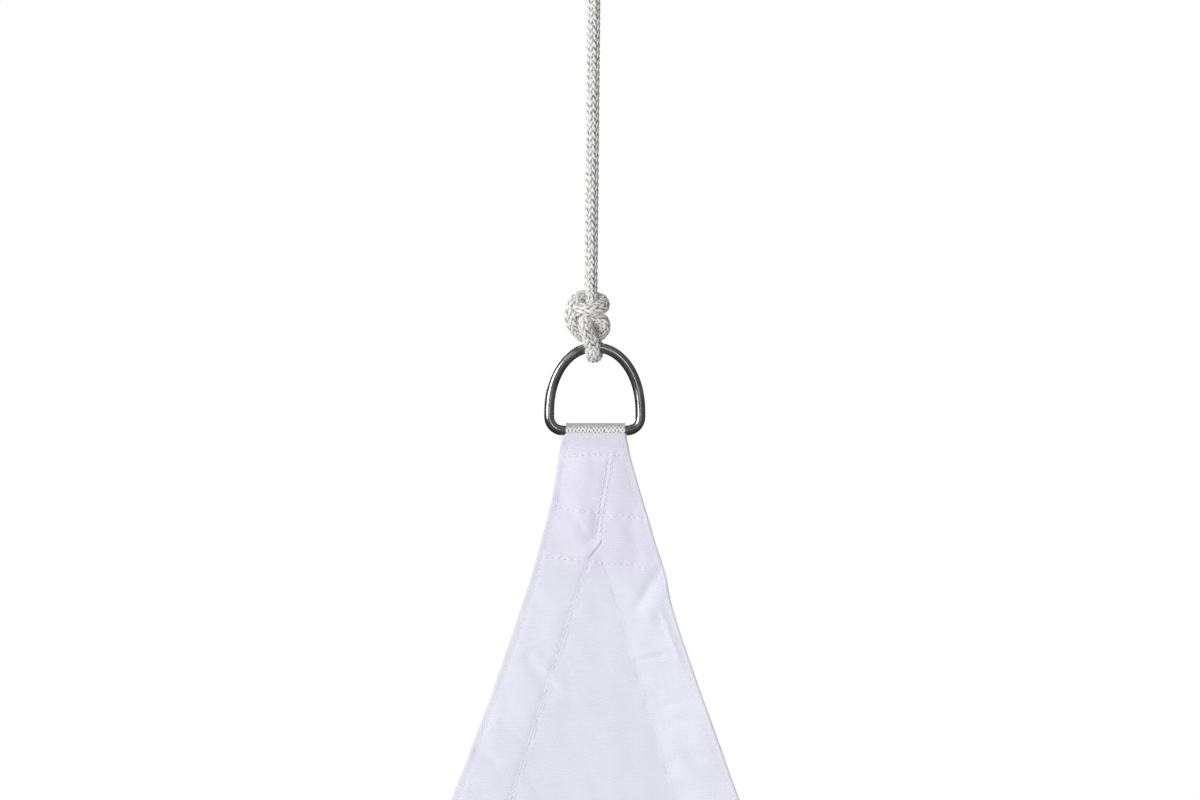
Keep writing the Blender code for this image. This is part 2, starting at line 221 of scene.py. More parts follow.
# Routes in mm, from the knot's centre: x right, y back, z towards the straight rope, and the
# rope's radius, which changes where its turns press together
knotDown = ((2.1, 0.0, 13.3, 3.45), (2.1, -0.9, 11.0, 3.4), (2.0, -2.2, 8.6, 3.3), (1.8, -1.8, 5.6, 3.2),
            (2.0, -1.9, 2.2, 3.1), (2.6, -3.0, -1.8, 3.1), (2.6, -1.4, -4.8, 3.0), (2.2, 2.8, -7.0, 3.0),
            (2.2, 6.2, -10.4, 2.9))
knotRound = ((0.9, -6.7, -11.2, 3.2), (-0.4, -7.4, -8.2, 3.6), (-1.3, -7.7, -4.8, 3.9),
             (-1.2, -6.9, -1.8, 3.8), (1.4, -5.9, -0.4, 3.4), (4.6, -5.6, -0.6, 3.4), (7.3, -4.6, -2.4, 3.5),
             (7.9, -2.8, -5.0, 3.5), (6.7, -0.6, -7.8, 3.4), (3.9, 0.9, -9.6, 3.2), (0.6, 1.4, -9.9, 3.2),
             (-2.8, 0.8, -9.2, 3.3), (-5.3, -0.8, -7.0, 3.4), (-7.4, -3.2, -3.4, 3.7),
             (-8.1, -4.8, 0.6, 3.8), (-7.9, -4.8, 4.0, 3.8), (-6.6, -3.8, 7.4, 3.7), (-3.6, -1.4, 9.8, 3.5),
             (0.6, 2.8, 10.4, 3.2), (4.4, 3.6, 9.6, 3.2), (6.9, 1.4, 8.0, 3.4), (7.4, -2.4, 5.7, 3.6),
             (5.2, -6.4, 4.0, 3.8), (1.4, -8.2, 3.3, 4.0), (-2.4, -7.8, 3.4, 4.0), (-4.8, -5.2, 3.3, 3.6),
             (-5.4, -0.4, 3.4, 3.2), (-3.2, 3.6, 1.8, 3.2), (0.8, 5.6, -0.4, 3.2), (4.2, 5.4, -2.6, 3.2))
ring = {
    "wire": 2.5 * mm, "halfWidth": 22.8 * mm, "height": 41.5 * mm, "widest": 9.0 * mm,
    "fillet": 6.8 * mm, "barZ": -275.5 * mm, "sides": 48,
    "squareness": 2.1,           # of the arch, where 2 is an ellipse
    "hang": -0.35 * mm,          # the top ring hangs a little to the left
}
# Round the ring's wire: degrees, and mm from the ring's middle
ringTurn = {
    "places": ((0, 0.8), (-35, 0.2), (-65, -0.4), (-90, -0.8), (-115, -1.1), (-145, -1.3), (-180, -1.5)),
    "centre": 2.6 * mm,          # of the rope, out from the wire
    "radius": 2.75 * mm,
    "flatter": 0.42,             # how much wider the rope is pressed against the wire
    "flatBelow": (-13.0 * mm, -8.0 * mm),
}
eye = {
    "reach": 41.0 * mm,          # from the knot's centre to the eye's far end
    "radius": 11.0 * mm, "lean": 1.2 * mm,
    "degrees": (35, 0, -32, -62, -90, -118, -148, -180, -215),
    "legBack": ((5.6, 4.6, -15.5), (9.0, 3.2, -20.0)),
    "legFront": ((-1.8, -3.2, -20.0), (-0.4, -5.6, -14.8)),
}


def makeRopeMaterial():
    # Braided polyester filament: bright yarns with a slight silky gloss. The gaps between the yarns and the
    # marks where they dive are painted darker, as painted shade in those hollows. The fine threads of a yarn
    # are too small to show, so a soft grain stands for them.
    material, tree, place = startMaterial("braidedPolyester")
    relief = addNode(tree, "Attribute", attribute_name="shade")
    grain = addNode(tree, "TexNoise", {"Scale": 1.0 / (0.9 * mm), "Detail": 3.0}, place)
    blotch = addNode(tree, "TexNoise", {"Scale": 1.0 / (2.6 * mm), "Detail": 1.0}, place)
    uneven = addNode(tree, "Math", {1: 0.95, 2: -0.44}, {0: blotch}, operation="MULTIPLY_ADD")
    dull = addNode(tree, "Math", {1: 0.35}, {0: grain, 2: uneven}, operation="MULTIPLY_ADD")
    level = addNode(tree, "Math", None, {0: relief.outputs["Fac"], 1: dull}, operation="ADD")
    # Painted shade: a low relief turns the colour dark, in the gaps and marks
    colour = addNode(tree, "ValToRGB", None, {"Fac": level}, {0.26: "#4B4540", 0.94: "#EFEDEB"})
    roughness = addNode(tree, "MapRange", {"To Min": 0.56, "To Max": 0.30}, {"Value": level})
    bump = addNode(tree, "Bump", {"Strength": 0.35, "Distance": 0.10 * mm}, {"Height": grain})
    surface = addNode(tree, "BsdfPrincipled", {"Sheen Weight": 0.10, "IOR": 1.50},
                      {"Base Color": colour, "Roughness": roughness, "Normal": bump})
    addNode(tree, "OutputMaterial", None, {"Surface": surface})
    return material


def smoothRoute(points, step):
    # A Catmull-Rom curve through points and radii, cut into even steps
    points = np.asarray(points, dtype=float)
    ends = np.vstack([2.0 * points[0] - points[1], points, 2.0 * points[-1] - points[-2]])
    u = np.linspace(0.0, 1.0, 24, endpoint=False)[:, None]
    pieces = []
    for i in range(len(points) - 1):
        a, b, c, d = ends[i:i + 4]
        pieces.append(0.5 * (2.0 * b + (c - a) * u + (2.0 * a - 5.0 * b + 4.0 * c - d) * u ** 2
                             + (3.0 * b - a - 3.0 * c + d) * u ** 3))
    dense = np.vstack([*pieces, points[-1:]])
    length = runLength(dense[:, :3])
    places = np.linspace(0.0, length[-1], max(2, int(round(length[-1] / step)) + 1))
    even = pointsAt(places, length, dense)
    return even[:, :3], even[:, 3], places


def turningFrames(route, front):
    # A pair of directions across the route that doesn't twist along it
    tangents = unit(np.gradient(route, axis=0))
    first = np.empty_like(route)
    side = np.asarray(front, dtype=float)
    for i, tangent in enumerate(tangents):
        side = side - tangent * side.dot(tangent)
        side = side / np.linalg.norm(side)
        first[i] = side
    return first, np.cross(tangents, first)


def braidRelief(turn, along, dive):
    # 0 in the gaps to 1 on top of a yarn: each yarn passes over two others and under two
    climb, gap, odd = rope["climb"], rope["gap"], rope["oddMarks"]
    p = rope["carriers"] * turn - along / rope["yarnPitch"]
    q = rope["carriers"] * turn + along / rope["yarnPitch"]
    heights = []
    for own, other, lift in ((p, q, 0.5), (q, p, 2.5)):
        yarn = np.round(own)
        bow = np.sqrt(np.clip(1.0 - rope["yarnBow"] * (own - yarn) ** 2, 0.0, 1.0))
        over = np.cos((other + yarn - lift) * math.pi / 2.0)
        heights.append((1.0 - climb) * bow + climb * (0.5 + 0.5 * over))
    relief = np.clip((np.maximum(*heights) - gap) / (1.0 - gap), 0.0, 1.0)
    # Along the lines where the yarns change over, they dive and leave marks, on every other line the deeper
    # ones.
    # The material paints these marks dark, as painted shade.
    spine = (p + q - 0.5) % 2.0 - 1.0
    mark = hump(spine, rope["markWidth"]) * (0.5 - 0.5 * np.cos((q - p) * math.pi))
    mark = mark * (1.0 - odd + odd * np.cos((p + q - 1.5) * math.pi / 2.0))
    return relief * (1.0 - dive * mark)


def addBraid(name, points, material, seat, tail=False, flatBelow=None):
    # Seat is the rope's length before this piece, so that the braid runs on from piece to piece
    sides = rope["sides"]
    dive = rope["knotDive"] if tail else rope["dive"]
    route, radius, along = smoothRoute(points, rope["step"])
    turn = np.arange(sides) / sides
    relief = braidRelief(turn[None, :] + rope["braidTurn"], along[:, None] + seat, dive)
    reach = radius[:, None] - rope["yarnRise"] * (1.0 - relief)
    if tail:
        reach = reach * (1.0 - rope["endTaper"] * hump(along[-1] - along, rope["endRound"]))[:, None]
    outward = circleOf(*turningFrames(route, (0.0, -1.0, 0.0)), sides) * reach[:, :, None]
    if flatBelow:
        pressed = ringTurn["flatter"] * fadeOut(*flatBelow, route[:, 2])
        outward[..., 0] *= 1.0 + pressed[:, None]
    points = route[:, None, :] + outward
    faces = tubeFaces(len(route), sides)
    # The relief is also the colour's shade, which paints shade into the gaps and marks
    return addPiece(name, points, faces, material, relief), route


def knotRoute(loop, height, entry, upsideDown):
    points = np.vstack([np.array(knotDown) * mm, loop, np.array(knotRound) * mm])
    follow = np.array((1.0, 0.8, 0.5, 0.2))      # the first points go with where the rope comes in
    points[:len(follow), 0] += (entry - points[0, 0]) * follow
    if upsideDown:
        points = points * (1.0, -1.0, -1.0, 1.0)
    return points + (rope["knotX"], 0.0, height, 0.0)


def makeRope():
    material = makeRopeMaterial()
    low = rope["ringKnotZ"] + rope["knotHalf"]
    high = rope["endKnotZ"] - rope["knotHalf"]
    top = np.array((rope["knotX"] + rope["endEntry"], 0.0, high, rope["radius"]))
    bottom = np.array((rope["knotX"] + rope["ringEntry"], 0.0, low, rope["radius"]))
    line = [mix(top, bottom, i / 20) for i in range(21)]
    straight, route = addBraid("braidedRope", line, material, rope["braidSeat"])

    apex = np.array([-rope["knotX"], 0.0, ring["barZ"] + ring["height"] - rope["ringKnotZ"]])
    wrap = ring["wire"] + ringTurn["centre"]
    loop = []
    for degrees, across in ringTurn["places"]:
        angle = math.radians(degrees)
        share = across * mm / ring["halfWidth"]
        fall = (ring["height"] - ring["widest"]) * (1.0 - math.sqrt(1.0 - share ** 2))
        place = apex + (across * mm, wrap * math.cos(angle), wrap * math.sin(angle) - fall)
        loop.append((*place, ringTurn["radius"]))
    points = knotRoute(loop, rope["ringKnotZ"], rope["ringEntry"], upsideDown=False)
    flatBelow = [rope["ringKnotZ"] + level for level in ringTurn["flatBelow"]]
    ringKnot, _ = addBraid("ringKnot", points, material, rope["braidSeat"] + high - low, tail=True,
                           flatBelow=flatBelow)

    centre = np.array([-rope["knotX"], 0.0, eye["radius"] - eye["reach"]])
    loop = [(*(np.array(point) * mm), rope["radius"]) for point in eye["legBack"]]
    for degrees in eye["degrees"]:
        angle = math.radians(degrees)
        lean = eye["lean"] * math.cos(angle)
        place = centre + (eye["radius"] * math.cos(angle), lean, eye["radius"] * math.sin(angle))
        loop.append((*place, rope["radius"]))
    loop += [(*(np.array(point) * mm), rope["radius"]) for point in eye["legFront"]]
    points = knotRoute(loop, rope["endKnotZ"], rope["endEntry"], upsideDown=True)
    endKnot, _ = addBraid("endKnot", points, material, rope["braidSeat"], tail=True)

    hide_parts("rope")
    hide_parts("ring_knot")
    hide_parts("end_knot")
    route = route[::-1]
    print("rope and knots made")


makeRope()


# Sail cloth

sail = {
    "side": 2.000, "sideSag": 80 * mm, "hem": 29 * mm,
    "cutEdgeZ": -276.25 * mm,
    "wedgeRise": 5 * mm,         # from the cut edge up to the triangle's own corner
    "flare": 14.7 * mm, "flareLength": 140 * mm, "flarePower": 1.8,
    "belly": 20 * mm, "fold": 6.5 * mm, "foldWaves": 13.0, "foldShift": 0.9,
    "foldSpan": (0.16, 0.50, 0.72, 1.02),
    "corners": {"top": 0.0, "left": -120.0, "right": 120.0},
    "mouth": 0.40 * mm,          # from the cut edge in to where the cloth shows
    "mouthTurn": (0.985, 2.5 * mm),          # the cut edge turned in: how much narrower, and how deep
    "mouthSpan": (14.6 * mm, 14.9 * mm),     # from the webbing's middle, where the mouth closes beside it
    "mouthClosed": 0.10 * mm,    # half its height there
    "wedge": (3.60 * mm, 1.0 * mm, 7.8 * mm),    # webbing's half thickness above and below, and its length
    "bulgeMiddle": 0.5 * mm,     # of the cloth's bulge over the webbing, across
    "bulgeSide": (10 * mm, 21 * mm),         # where it fades out to each side
    "bulgeFull": (4 * mm, 12 * mm),          # down, where it stops taking in the whole corner
    "evenFrom": (0.150, 0.230),  # down a corner, where the measured hems give way to even ones
    "plainFrom": 0.45,           # where a measured edge has become the plain curve
    "nearTo": (0.25, 0.60),      # where the small folds fade out
    "bare": 0.6 * mm,            # half the cloth's thickness
    "hemRise": 0.36 * mm,        # a hem's folded layers
    # Its inner edge is pressed down to a share of that, over a strip of this width
    "leftPress": (0.22, 4.5 * mm),
    "rightPress": (0.0, 12 * mm),
    "cornerRise": 0.35 * mm,     # the further layers of a corner
    "cornerTo": (62 * mm, 74 * mm),
    "panelFrom": (64 * mm, 74 * mm),         # where the panel comes out from under them
    "lapRise": 0.70 * mm,        # the left hem where it lies over the right one
    "lapSpan": (9 * mm, 17 * mm, 50 * mm, 56 * mm),
    "lapEdge": 0.12,             # the share of it at the raw edge
    "lapIn": (-0.5 * mm, 7 * mm),            # inside the raw edge, where it rises
    "lapOut": (10 * mm, 24 * mm),            # and fades out
    "pleatRise": (0.60 * mm, 5 * mm),        # height and width of the small fold where the hems cross
    "pleatSink": (0.50 * mm, 1 * mm),        # and of the hollow at its foot
    "pleatSpan": (52.5 * mm, 55.5 * mm, 60.8 * mm, 63.4 * mm),
    "overWebbing": 0.9 * mm,     # cloth over each face of the webbing
    "leastOver": 0.12 * mm,      # which no gather sinks below
    "leastHalf": 0.35 * mm,      # the same away from the webbing
    "clearSide": (15.0 * mm, 17.5 * mm),     # where that starts, to each side of it
    "clearBelow": (60.5 * mm, 63.5 * mm),    # and below it
    "outerStitch": 2.8 * mm,     # inside the folded edge
    "innerStitch": 1.6 * mm,     # inside the hem's inner edge
    "ledgeStitch": 2.4 * mm,     # inside the raw edge where the left hem lies over the right one
    "outerFrom": (2 * mm, 10 * mm),          # down, where the gathers of the folded edge start
    "seamDip": (0.16 * mm, 1.0 * mm),        # depth and half width of a seam's groove
    "seamGather": (0.18 * mm, 3.2 * mm),     # and of the gathers beside it
    "gatherPitch": 5.6 * mm,
    # Strength of the gathers beside each kind of seam, on the left and on the right
    "gathers": {"cross": 1.25, "inner": (1.0, 0.3), "outer": (0.9, 0.4), "ledge": 1.2},
    "ledgeSpan": (12 * mm, 16 * mm, 50 * mm, 56 * mm),
    "waveRise": 0.24 * mm,       # slanting waves of the slack in the hems
    "leftWaves": (15 * mm, 13 * mm),         # pitch, and reach from the inner seam
    "rightWaves": (22 * mm, 14 * mm),
    "rightLean": 0.17,           # how much the right hem's waves slant
    "waveWander": (1.6, 48 * mm),            # how far waves leave their lines, and over what length
    "waveCrowd": (0.6, 0.4, 60 * mm),        # their mean strength, how much it changes, and over what length
    "rightSwell": (0.50 * mm, 22 * mm),      # the right hem stands a little fuller
    # Shares of the gathers on each face, far from a corner and near it
    "frontDips": (0.5, 1.0),
    "backDips": (0.3, 0.7),
    "belowCorner": (60 * mm, 72 * mm),       # where the corner gives way to the hems alone
    "foldRound": (0.6 * mm, 1.2 * mm),       # rounding of the folded edge, left and right
    "foldCrisp": (0.80, 0.50),   # the share of its thickness that it keeps at the very edge
    "softRise": ((0.15 * mm, 17 * mm), (0.28 * mm, 44 * mm)),    # height and length of uneven waves
}
centreZ = sail["cutEdgeZ"] + sail["wedgeRise"] - sail["side"] / math.sqrt(3.0)

# A corner's folded edges: (down, across) in mm
leftEdge = ((0, -14.2), (1.2, -16.0), (2.5, -16.9), (4, -17.5), (14, -18.9), (24, -20.5), (34, -22.3),
            (44, -24.7), (54, -27.5), (64, -30.2), (74, -33.0), (84, -36.3), (94, -39.6), (104, -43.0),
            (114, -46.5), (124, -49.9), (134, -53.4), (144, -57.1), (154, -60.9), (164, -64.7),
            (174, -68.5), (182, -71.8))
rightEdge = ((0, 15.5), (4, 16.0), (14, 18.1), (24, 20.9), (34, 23.8), (44, 26.9), (54, 29.8),
             (64, 33.1), (72, 35.6), (78, 36.6), (84, 37.7), (94, 40.6), (104, 43.8), (114, 47.3),
             (124, 50.7), (134, 54.2), (144, 57.9), (154, 61.5), (164, 65.0), (174, 68.6), (182, 71.5))
# The hems' inner edges. The left hem laps over the right one above their crossing.
leftInner = ((0, 8.9), (12.5, 8.9), (20, 8.1), (34, 5.4), (47, 3.6), (55, 2.6), (62.6, -3.4),
             (66.5, -2.75), (184, -41.2), (240, -59.6))
rightInner = ((0, 10.9), (12.5, 10.9), (20, 10.1), (34, 7.4), (47, 5.6), (55, 4.6), (61, 1.0),
              (65, 2.9), (69, 4.75), (184, 39.2), (240, 56.0))
# Seams across the corner: (across, down) in mm
crossSeams = (
    ((-17.8, 12.1), (-8.0, 11.9), (2.0, 11.5), (9.0, 11.4), (17.2, 11.2)),
    ((-22.0, 36.4), (-17.2, 37.8), (-11.4, 39.5), (0.7, 40.1), (9.4, 41.0), (19.2, 43.0), (26.4, 42.8)),
    ((-29.4, 62.0), (-18.9, 63.2), (-4.5, 64.0), (-0.4, 64.9), (8.8, 65.8), (18.1, 66.7), (27.9, 68.5),
     (34.0, 69.2)),
)
# Where a seam was sewn twice to lock it: (across, down) in mm
lockedSeams = (
    ((-8.2, 11.6), (-1.0, 9.9)),
    ((-2.4, 10.8), (6.6, 9.4)),
    ((1.0, 41.6), (10.6, 42.4)),
    ((-19.0, 61.6), (-11.0, 62.6)),
)
# Creases in mm: from and to (across, down), half width, and height, which is negative in a valley
creases = (
    ((30.2, 71.5), (21.2, 87.0), 2.6, -0.77),
    ((36.0, 76.0), (27.0, 92.0), 3.2, 0.42),
    ((33.2, 90.0), (42.0, 114.0), 1.5, 0.392),
    ((19.8, 114.4), (33.0, 111.4), 1.4, -0.392),
    ((21.0, 111.6), (35.0, 108.2), 1.8, 0.28),
    ((25.8, 137.5), (43.2, 135.0), 1.5, -0.448),
    ((36.2, 145.5), (45.8, 145.0), 1.4, -0.252),
    ((-33.5, 114.0), (-22.0, 130.0), 3.0, -0.63),
    ((-29.0, 111.0), (-17.0, 127.0), 2.6, 0.35),
    ((-58.5, 159.5), (-50.0, 165.0), 2.2, -0.448),
    ((-17.0, 33.0), (-7.2, 48.5), 2.6, -0.42),
    ((0.6, 15.5), (-1.4, 33.0), 4.5, -0.35),
    ((0.2, 43.0), (-1.4, 55.0), 2.8, -0.35),
    ((-10.0, 50.0), (-4.5, 61.0), 3.0, 0.308),
    ((17.0, 48.0), (22.0, 63.0), 3.0, -0.252),
    ((-46.0, 146.0), (-36.0, 154.0), 2.6, -0.35),
    ((-40.0, 92.0), (-27.0, 98.0), 2.6, -0.28),
    ((48.0, 163.0), (60.0, 161.0), 2.2, -0.308),
)


def plainEdge(x):
    # Right-hand edge at x along the straight line between two corners: (across, down)
    inward = 4.0 * sail["sideSag"] * (x / sail["side"]) * (1.0 - x / sail["side"])
    lean = math.radians(30.0)
    across = x * math.sin(lean) - inward * math.cos(lean)
    down = x * math.cos(lean) + inward * math.sin(lean) - sail["wedgeRise"]
    bare = np.clip(1.0 - down / sail["flareLength"], 0.0, None)
    return across + sail["flare"] * bare ** sail["flarePower"], down


def edgeTable(measured, sign, trim):
    # (down, across) all along a folded edge: as measured near the ring, then the plain curve
    x = np.linspace(3 * mm, sail["side"] / 2.0, 3000)
    across, down = plainEdge(x)
    seenDown, seenAcross = np.array(measured).T * mm
    seenAcross = seenAcross - sign * trim
    shift = seenAcross[-1] - sign * np.interp(seenDown[-1], down, across)
    beyond = sign * across + shift * fadeOut(seenDown[-1], sail["plainFrom"], down)
    near = np.interp(down, seenDown, seenAcross)
    return down, np.where(down < seenDown[-1], near, beyond)


edgeDown, leftAcross = edgeTable(leftEdge, -1.0, 0.50 * mm)
_, rightAcross = edgeTable(rightEdge, 1.0, 0.15 * mm)
evenDown = np.linspace(edgeDown[0], edgeDown[-1], 900)


def squareTable(across):
    # What turns widths along a row into widths square to the edge
    slope = np.gradient(np.interp(evenDown, edgeDown, across), evenDown)
    smoothed = np.convolve(slope, np.ones(9) / 9.0, "same")
    return 1.0 / np.sqrt(1.0 + smoothed ** 2)


leftSquare = squareTable(leftAcross)
rightSquare = squareTable(rightAcross)


def edgesAt(down):
    # Folded and inner edges of both hems at this depth, and what turns widths square to them
    left = np.interp(down, edgeDown, leftAcross)
    right = np.interp(down, edgeDown, rightAcross)
    squareLeft = np.interp(down, evenDown, leftSquare)
    squareRight = np.interp(down, evenDown, rightSquare)
    far = smoothStep(*sail["evenFrom"], down)
    seenLeft = np.interp(down, *(np.array(leftInner).T * mm))
    seenRight = np.interp(down, *(np.array(rightInner).T * mm))
    innerLeft = mix(seenLeft, left + sail["hem"] / squareLeft, far)
    innerRight = mix(seenRight, right - sail["hem"] / squareRight, far)
    return left, innerLeft, innerRight, right, squareLeft, squareRight


def distanceTo(line, across, down):
    # Distance to a line of points in mm, and the place along it
    line = np.array(line) * mm
    best = np.full(np.shape(across), 1.0)
    along = np.zeros(np.shape(across))
    start = 0.0
    for a, b in zip(line[:-1], line[1:]):
        run = b - a
        length = np.hypot(*run)
        share = np.clip(((across - a[0]) * run[0] + (down - a[1]) * run[1]) / length ** 2, 0.0, 1.0)
        away = np.hypot(across - a[0] - share * run[0], down - a[1] - share * run[1])
        along = np.where(away < best, start + share * length, along)
        best = np.minimum(best, away)
        start += length
    return best, along


def seamDip(away, along, seed):
    # A row of stitches draws the cloth in and gathers it a little
    (dip, dipWidth), (gather, gatherWidth) = sail["seamDip"], sail["seamGather"]
    uneven = 2.5 * ripple(along, along * 0.3, 23 * mm, seed)
    gathered = 0.5 + 0.5 * np.sin(along * 2.0 * math.pi / sail["gatherPitch"] + uneven)
    return dip * hump(away, dipWidth) + gather * gathered * hump(away, gatherWidth)


def webbingHalf(down):
    # Half thickness of the folded webbing, this far below the cut edge
    thick, thin, length = sail["wedge"]
    closed = (down + 0.05 * mm) / length
    return np.clip(mix(thick, thin, closed), thin, thick)


def clothSpot(across, down):
    # Where points of the cloth lie, measured square to the edges
    left, innerLeft, innerRight, right, squareLeft, squareRight = edgesAt(down)
    return {
        "across": across, "down": down,
        "toInnerLeft": (innerLeft - across) * squareLeft,
        "toInnerRight": (across - innerRight) * squareRight,
        "fromEdge": np.minimum((across - left) * squareLeft, (right - across) * squareRight),
        "onLeft": across < 0.5 * (innerLeft + innerRight),
    }


def layerHeights(spot, band):
    # The layers alone: one in the panel, two in a hem, and more round the webbing
    down, toInnerLeft = spot["down"], spot["toInnerLeft"]
    corner = fadeOut(*sail["cornerTo"], down)
    onWebbing = fadeOut(*sail["bulgeSide"], np.abs(spot["across"] - sail["bulgeMiddle"]))
    onWebbing = np.maximum(onWebbing, fadeOut(*sail["bulgeFull"], down))
    flatCore = sail["bare"] + sail["hemRise"] + sail["cornerRise"]
    cornerHeight = mix(flatCore, webbingHalf(down) + sail["overWebbing"], onWebbing)
    pressed = []
    for name, inside in (("leftPress", toInnerLeft), ("rightPress", spot["toInnerRight"])):
        share, width = sail[name]
        pressed.append(mix(share, 1.0, smoothStep(0.0, width, inside)))
    hem = sail["bare"] + sail["hemRise"] * np.where(band == 2, pressed[1], pressed[0])
    front = mix(np.where(band == 1, sail["bare"], hem), cornerHeight, corner)
    panel = mix(cornerHeight, np.minimum(front, hem), smoothStep(*sail["panelFrom"], down))
    front = np.where((band == 1) & (corner > 0.0), panel, front)
    lap = within(sail["lapSpan"], down) * mix(sail["lapEdge"], 1.0, smoothStep(*sail["lapIn"], toInnerLeft))
    lap = lap * fadeOut(*sail["lapOut"], toInnerLeft)
    (crestRise, crestWidth), (footSink, footWidth) = sail["pleatRise"], sail["pleatSink"]
    pleat = within(sail["pleatSpan"], down)
    crest = pleat * hump(np.clip(toInnerLeft, 0.0, None), crestWidth)
    foot = pleat * hump(np.clip(-toInnerLeft, 0.0, None), footWidth)
    front = front + np.where(band == 0, sail["lapRise"] * lap + crestRise * crest, -footSink * foot)
    return front, mix(sail["bare"], cornerHeight, corner)


def seamDips(spot, band, below):
    # Gathers beside all the seams
    across, down, onLeft, toInnerLeft = (spot[name] for name in ("across", "down", "onLeft", "toInnerLeft"))
    gathers = sail["gathers"]
    dips = np.zeros(np.shape(across))
    for index, line in enumerate(crossSeams):
        away, along = distanceTo(line, across, down)
        dips = dips + seamDip(away, along, 11 + index) * gathers["cross"]
    inner = np.where(onLeft, toInnerLeft, spot["toInnerRight"])
    fromSeam = np.where(band == 1, np.abs(inner) + sail["innerStitch"], inner - sail["innerStitch"])
    dips = dips + below * seamDip(fromSeam, down, 21) * np.where(onLeft, *gathers["inner"])
    outer = seamDip(spot["fromEdge"] - sail["outerStitch"], down, 22) * smoothStep(*sail["outerFrom"], down)
    dips = dips + outer * np.where(onLeft, *gathers["outer"])
    ledge = within(sail["ledgeSpan"], down)
    return dips + ledge * seamDip(toInnerLeft - sail["ledgeStitch"], down, 23) * gathers["ledge"]


def hemWaves(spot, band, crowd, seed):
    # Slack in the hems, which gathers in slanting waves beside their inner seams
    across, down = spot["across"], spot["down"]
    (leftPitch, leftReach), (rightPitch, rightReach) = sail["leftWaves"], sail["rightWaves"]
    wander, wanderLength = sail["waveWander"]
    mean, change, changeLength = sail["waveCrowd"]
    left = np.sin((across - down) * 0.707 * 2.0 * math.pi / leftPitch
                  + wander * ripple(across, down, wanderLength, seed + 1))
    right = np.sin((down + sail["rightLean"] * across) * 2.0 * math.pi / rightPitch
                   + wander * ripple(across, down, wanderLength, seed + 2))
    left = left * hump(spot["toInnerLeft"], leftReach) * (band == 0)
    right = right * hump(spot["toInnerRight"], rightReach) * (band == 2)
    crowd = crowd * (mean + change * ripple(across, down, changeLength, seed + 3))
    return sail["waveRise"] * crowd * (left + right)


def clothHeights(across, down, band, seed):
    # Front and back of the cloth, out from its middle. Band: 0 left hem, 1 panel, 2 right hem
    spot = clothSpot(across, down)
    near = fadeOut(*sail["nearTo"], down)
    below = smoothStep(*sail["belowCorner"], down)
    front, back = layerHeights(spot, band)
    dips = seamDips(spot, band, below)
    front = front - dips * mix(*sail["frontDips"], near) + hemWaves(spot, band, below * near, seed)
    back = back - dips * mix(*sail["backDips"], near)
    swellRise, swellWidth = sail["rightSwell"]
    swell = smoothStep(0.0, swellWidth, spot["toInnerRight"]) * (band == 2)
    front = front + swellRise * below * near * swell
    (fineRise, fineLength), (longRise, longLength) = sail["softRise"]
    soft = near * (fineRise * ripple(across, down, fineLength, seed + 5)
                   + longRise * ripple(across, down, longLength, seed + 6))
    front = front + soft * np.where(band == 1, 0.90, 1.0)
    back = back - soft * 0.7
    if seed == cornerSeeds["top"]:
        for start, end, width, height in creases:
            away, _ = distanceTo((start, end), across, down)
            front = front + height * mm * hump(away, width * mm)
    # The folded edge: crisp on the left, rounder on the right
    roundness = np.where(spot["onLeft"], *sail["foldRound"])
    crisp = np.where(spot["onLeft"], *sail["foldCrisp"])
    inFromEdge = np.clip(spot["fromEdge"] / roundness, 0.0, 1.0)
    fold = crisp + (1.0 - crisp) * np.sqrt(1.0 - (1.0 - inFromEdge) ** 2)
    # No gather sinks into the webbing
    beside = smoothStep(*sail["clearSide"], np.abs(across))
    past = np.maximum(beside, smoothStep(*sail["clearBelow"], down))
    least = mix(webbingHalf(down) + sail["leastOver"], sail["leastHalf"], past)
    return np.maximum(front, least) * fold, np.maximum(back, least) * fold


# What the cloth's colour depends on: 0 in the thick corner, and more in the hems than in one layer. The
# right hem gets more than the left one: painted light.
tone = {
    "oneLayer": 0.5,
    "leftHem": (0.24, -0.5 * mm, 18 * mm),   # what it adds, and where that starts and is full
    # Painted light: the right hem is painted brighter than the left one
    "rightHemAndPaintedLight": (0.42, -3.0 * mm, 4.0 * mm),
    "below": (58 * mm, 86 * mm),             # down, where the thick corner ends
}


def clothTone(across, down):
    spot = clothSpot(across, down)
    added = []
    for name, inside in (("leftHem", spot["toInnerLeft"]), ("rightHemAndPaintedLight", spot["toInnerRight"])):
        share, start, full = tone[name]
        added.append(share * smoothStep(start, full, inside))
    return smoothStep(*tone["below"], down) * (tone["oneLayer"] + np.where(spot["onLeft"], *added))


def slack(x, z):
    # How far the stretched cloth leaves its flat plane, to the back
    reach = sail["side"] / math.sqrt(3.0)        # from the middle to a corner
    height = sail["side"] * math.sqrt(3.0) / 2.0
    belly, folds = 27.0, 0.0                     # the belly's three shares are a third each in the middle
    for index, degrees in enumerate(sail["corners"].values()):
        angle = math.radians(degrees)
        outX, outZ = math.sin(angle), math.cos(angle)
        awayX = x - outX * reach
        awayZ = z - centreZ - outZ * reach
        outward = awayX * outX + awayZ * outZ
        belly = belly * np.clip(1.0 + outward / height, 0.0, None)
        bearing = np.arctan2(awayX * outZ - awayZ * outX, -outward)
        grow = within(sail["foldSpan"], np.hypot(awayX, awayZ))
        folds = folds + sail["fold"] * grow * np.cos(sail["foldWaves"] * bearing + sail["foldShift"] * index)
    return folds - sail["belly"] * smoothStep(0.0, 1.0, belly)


def placeCorner(across, outward, down, corner):
    # From a corner's frame to the sail's. Outward is to the back, from the stretched cloth.
    angle = math.radians(sail["corners"][corner])
    flatZ = sail["cutEdgeZ"] - down - centreZ
    x = across * math.cos(angle) + flatZ * math.sin(angle)
    z = flatZ * math.cos(angle) - across * math.sin(angle) + centreZ
    return np.stack([x, outward + slack(x, z), z], axis=-1)


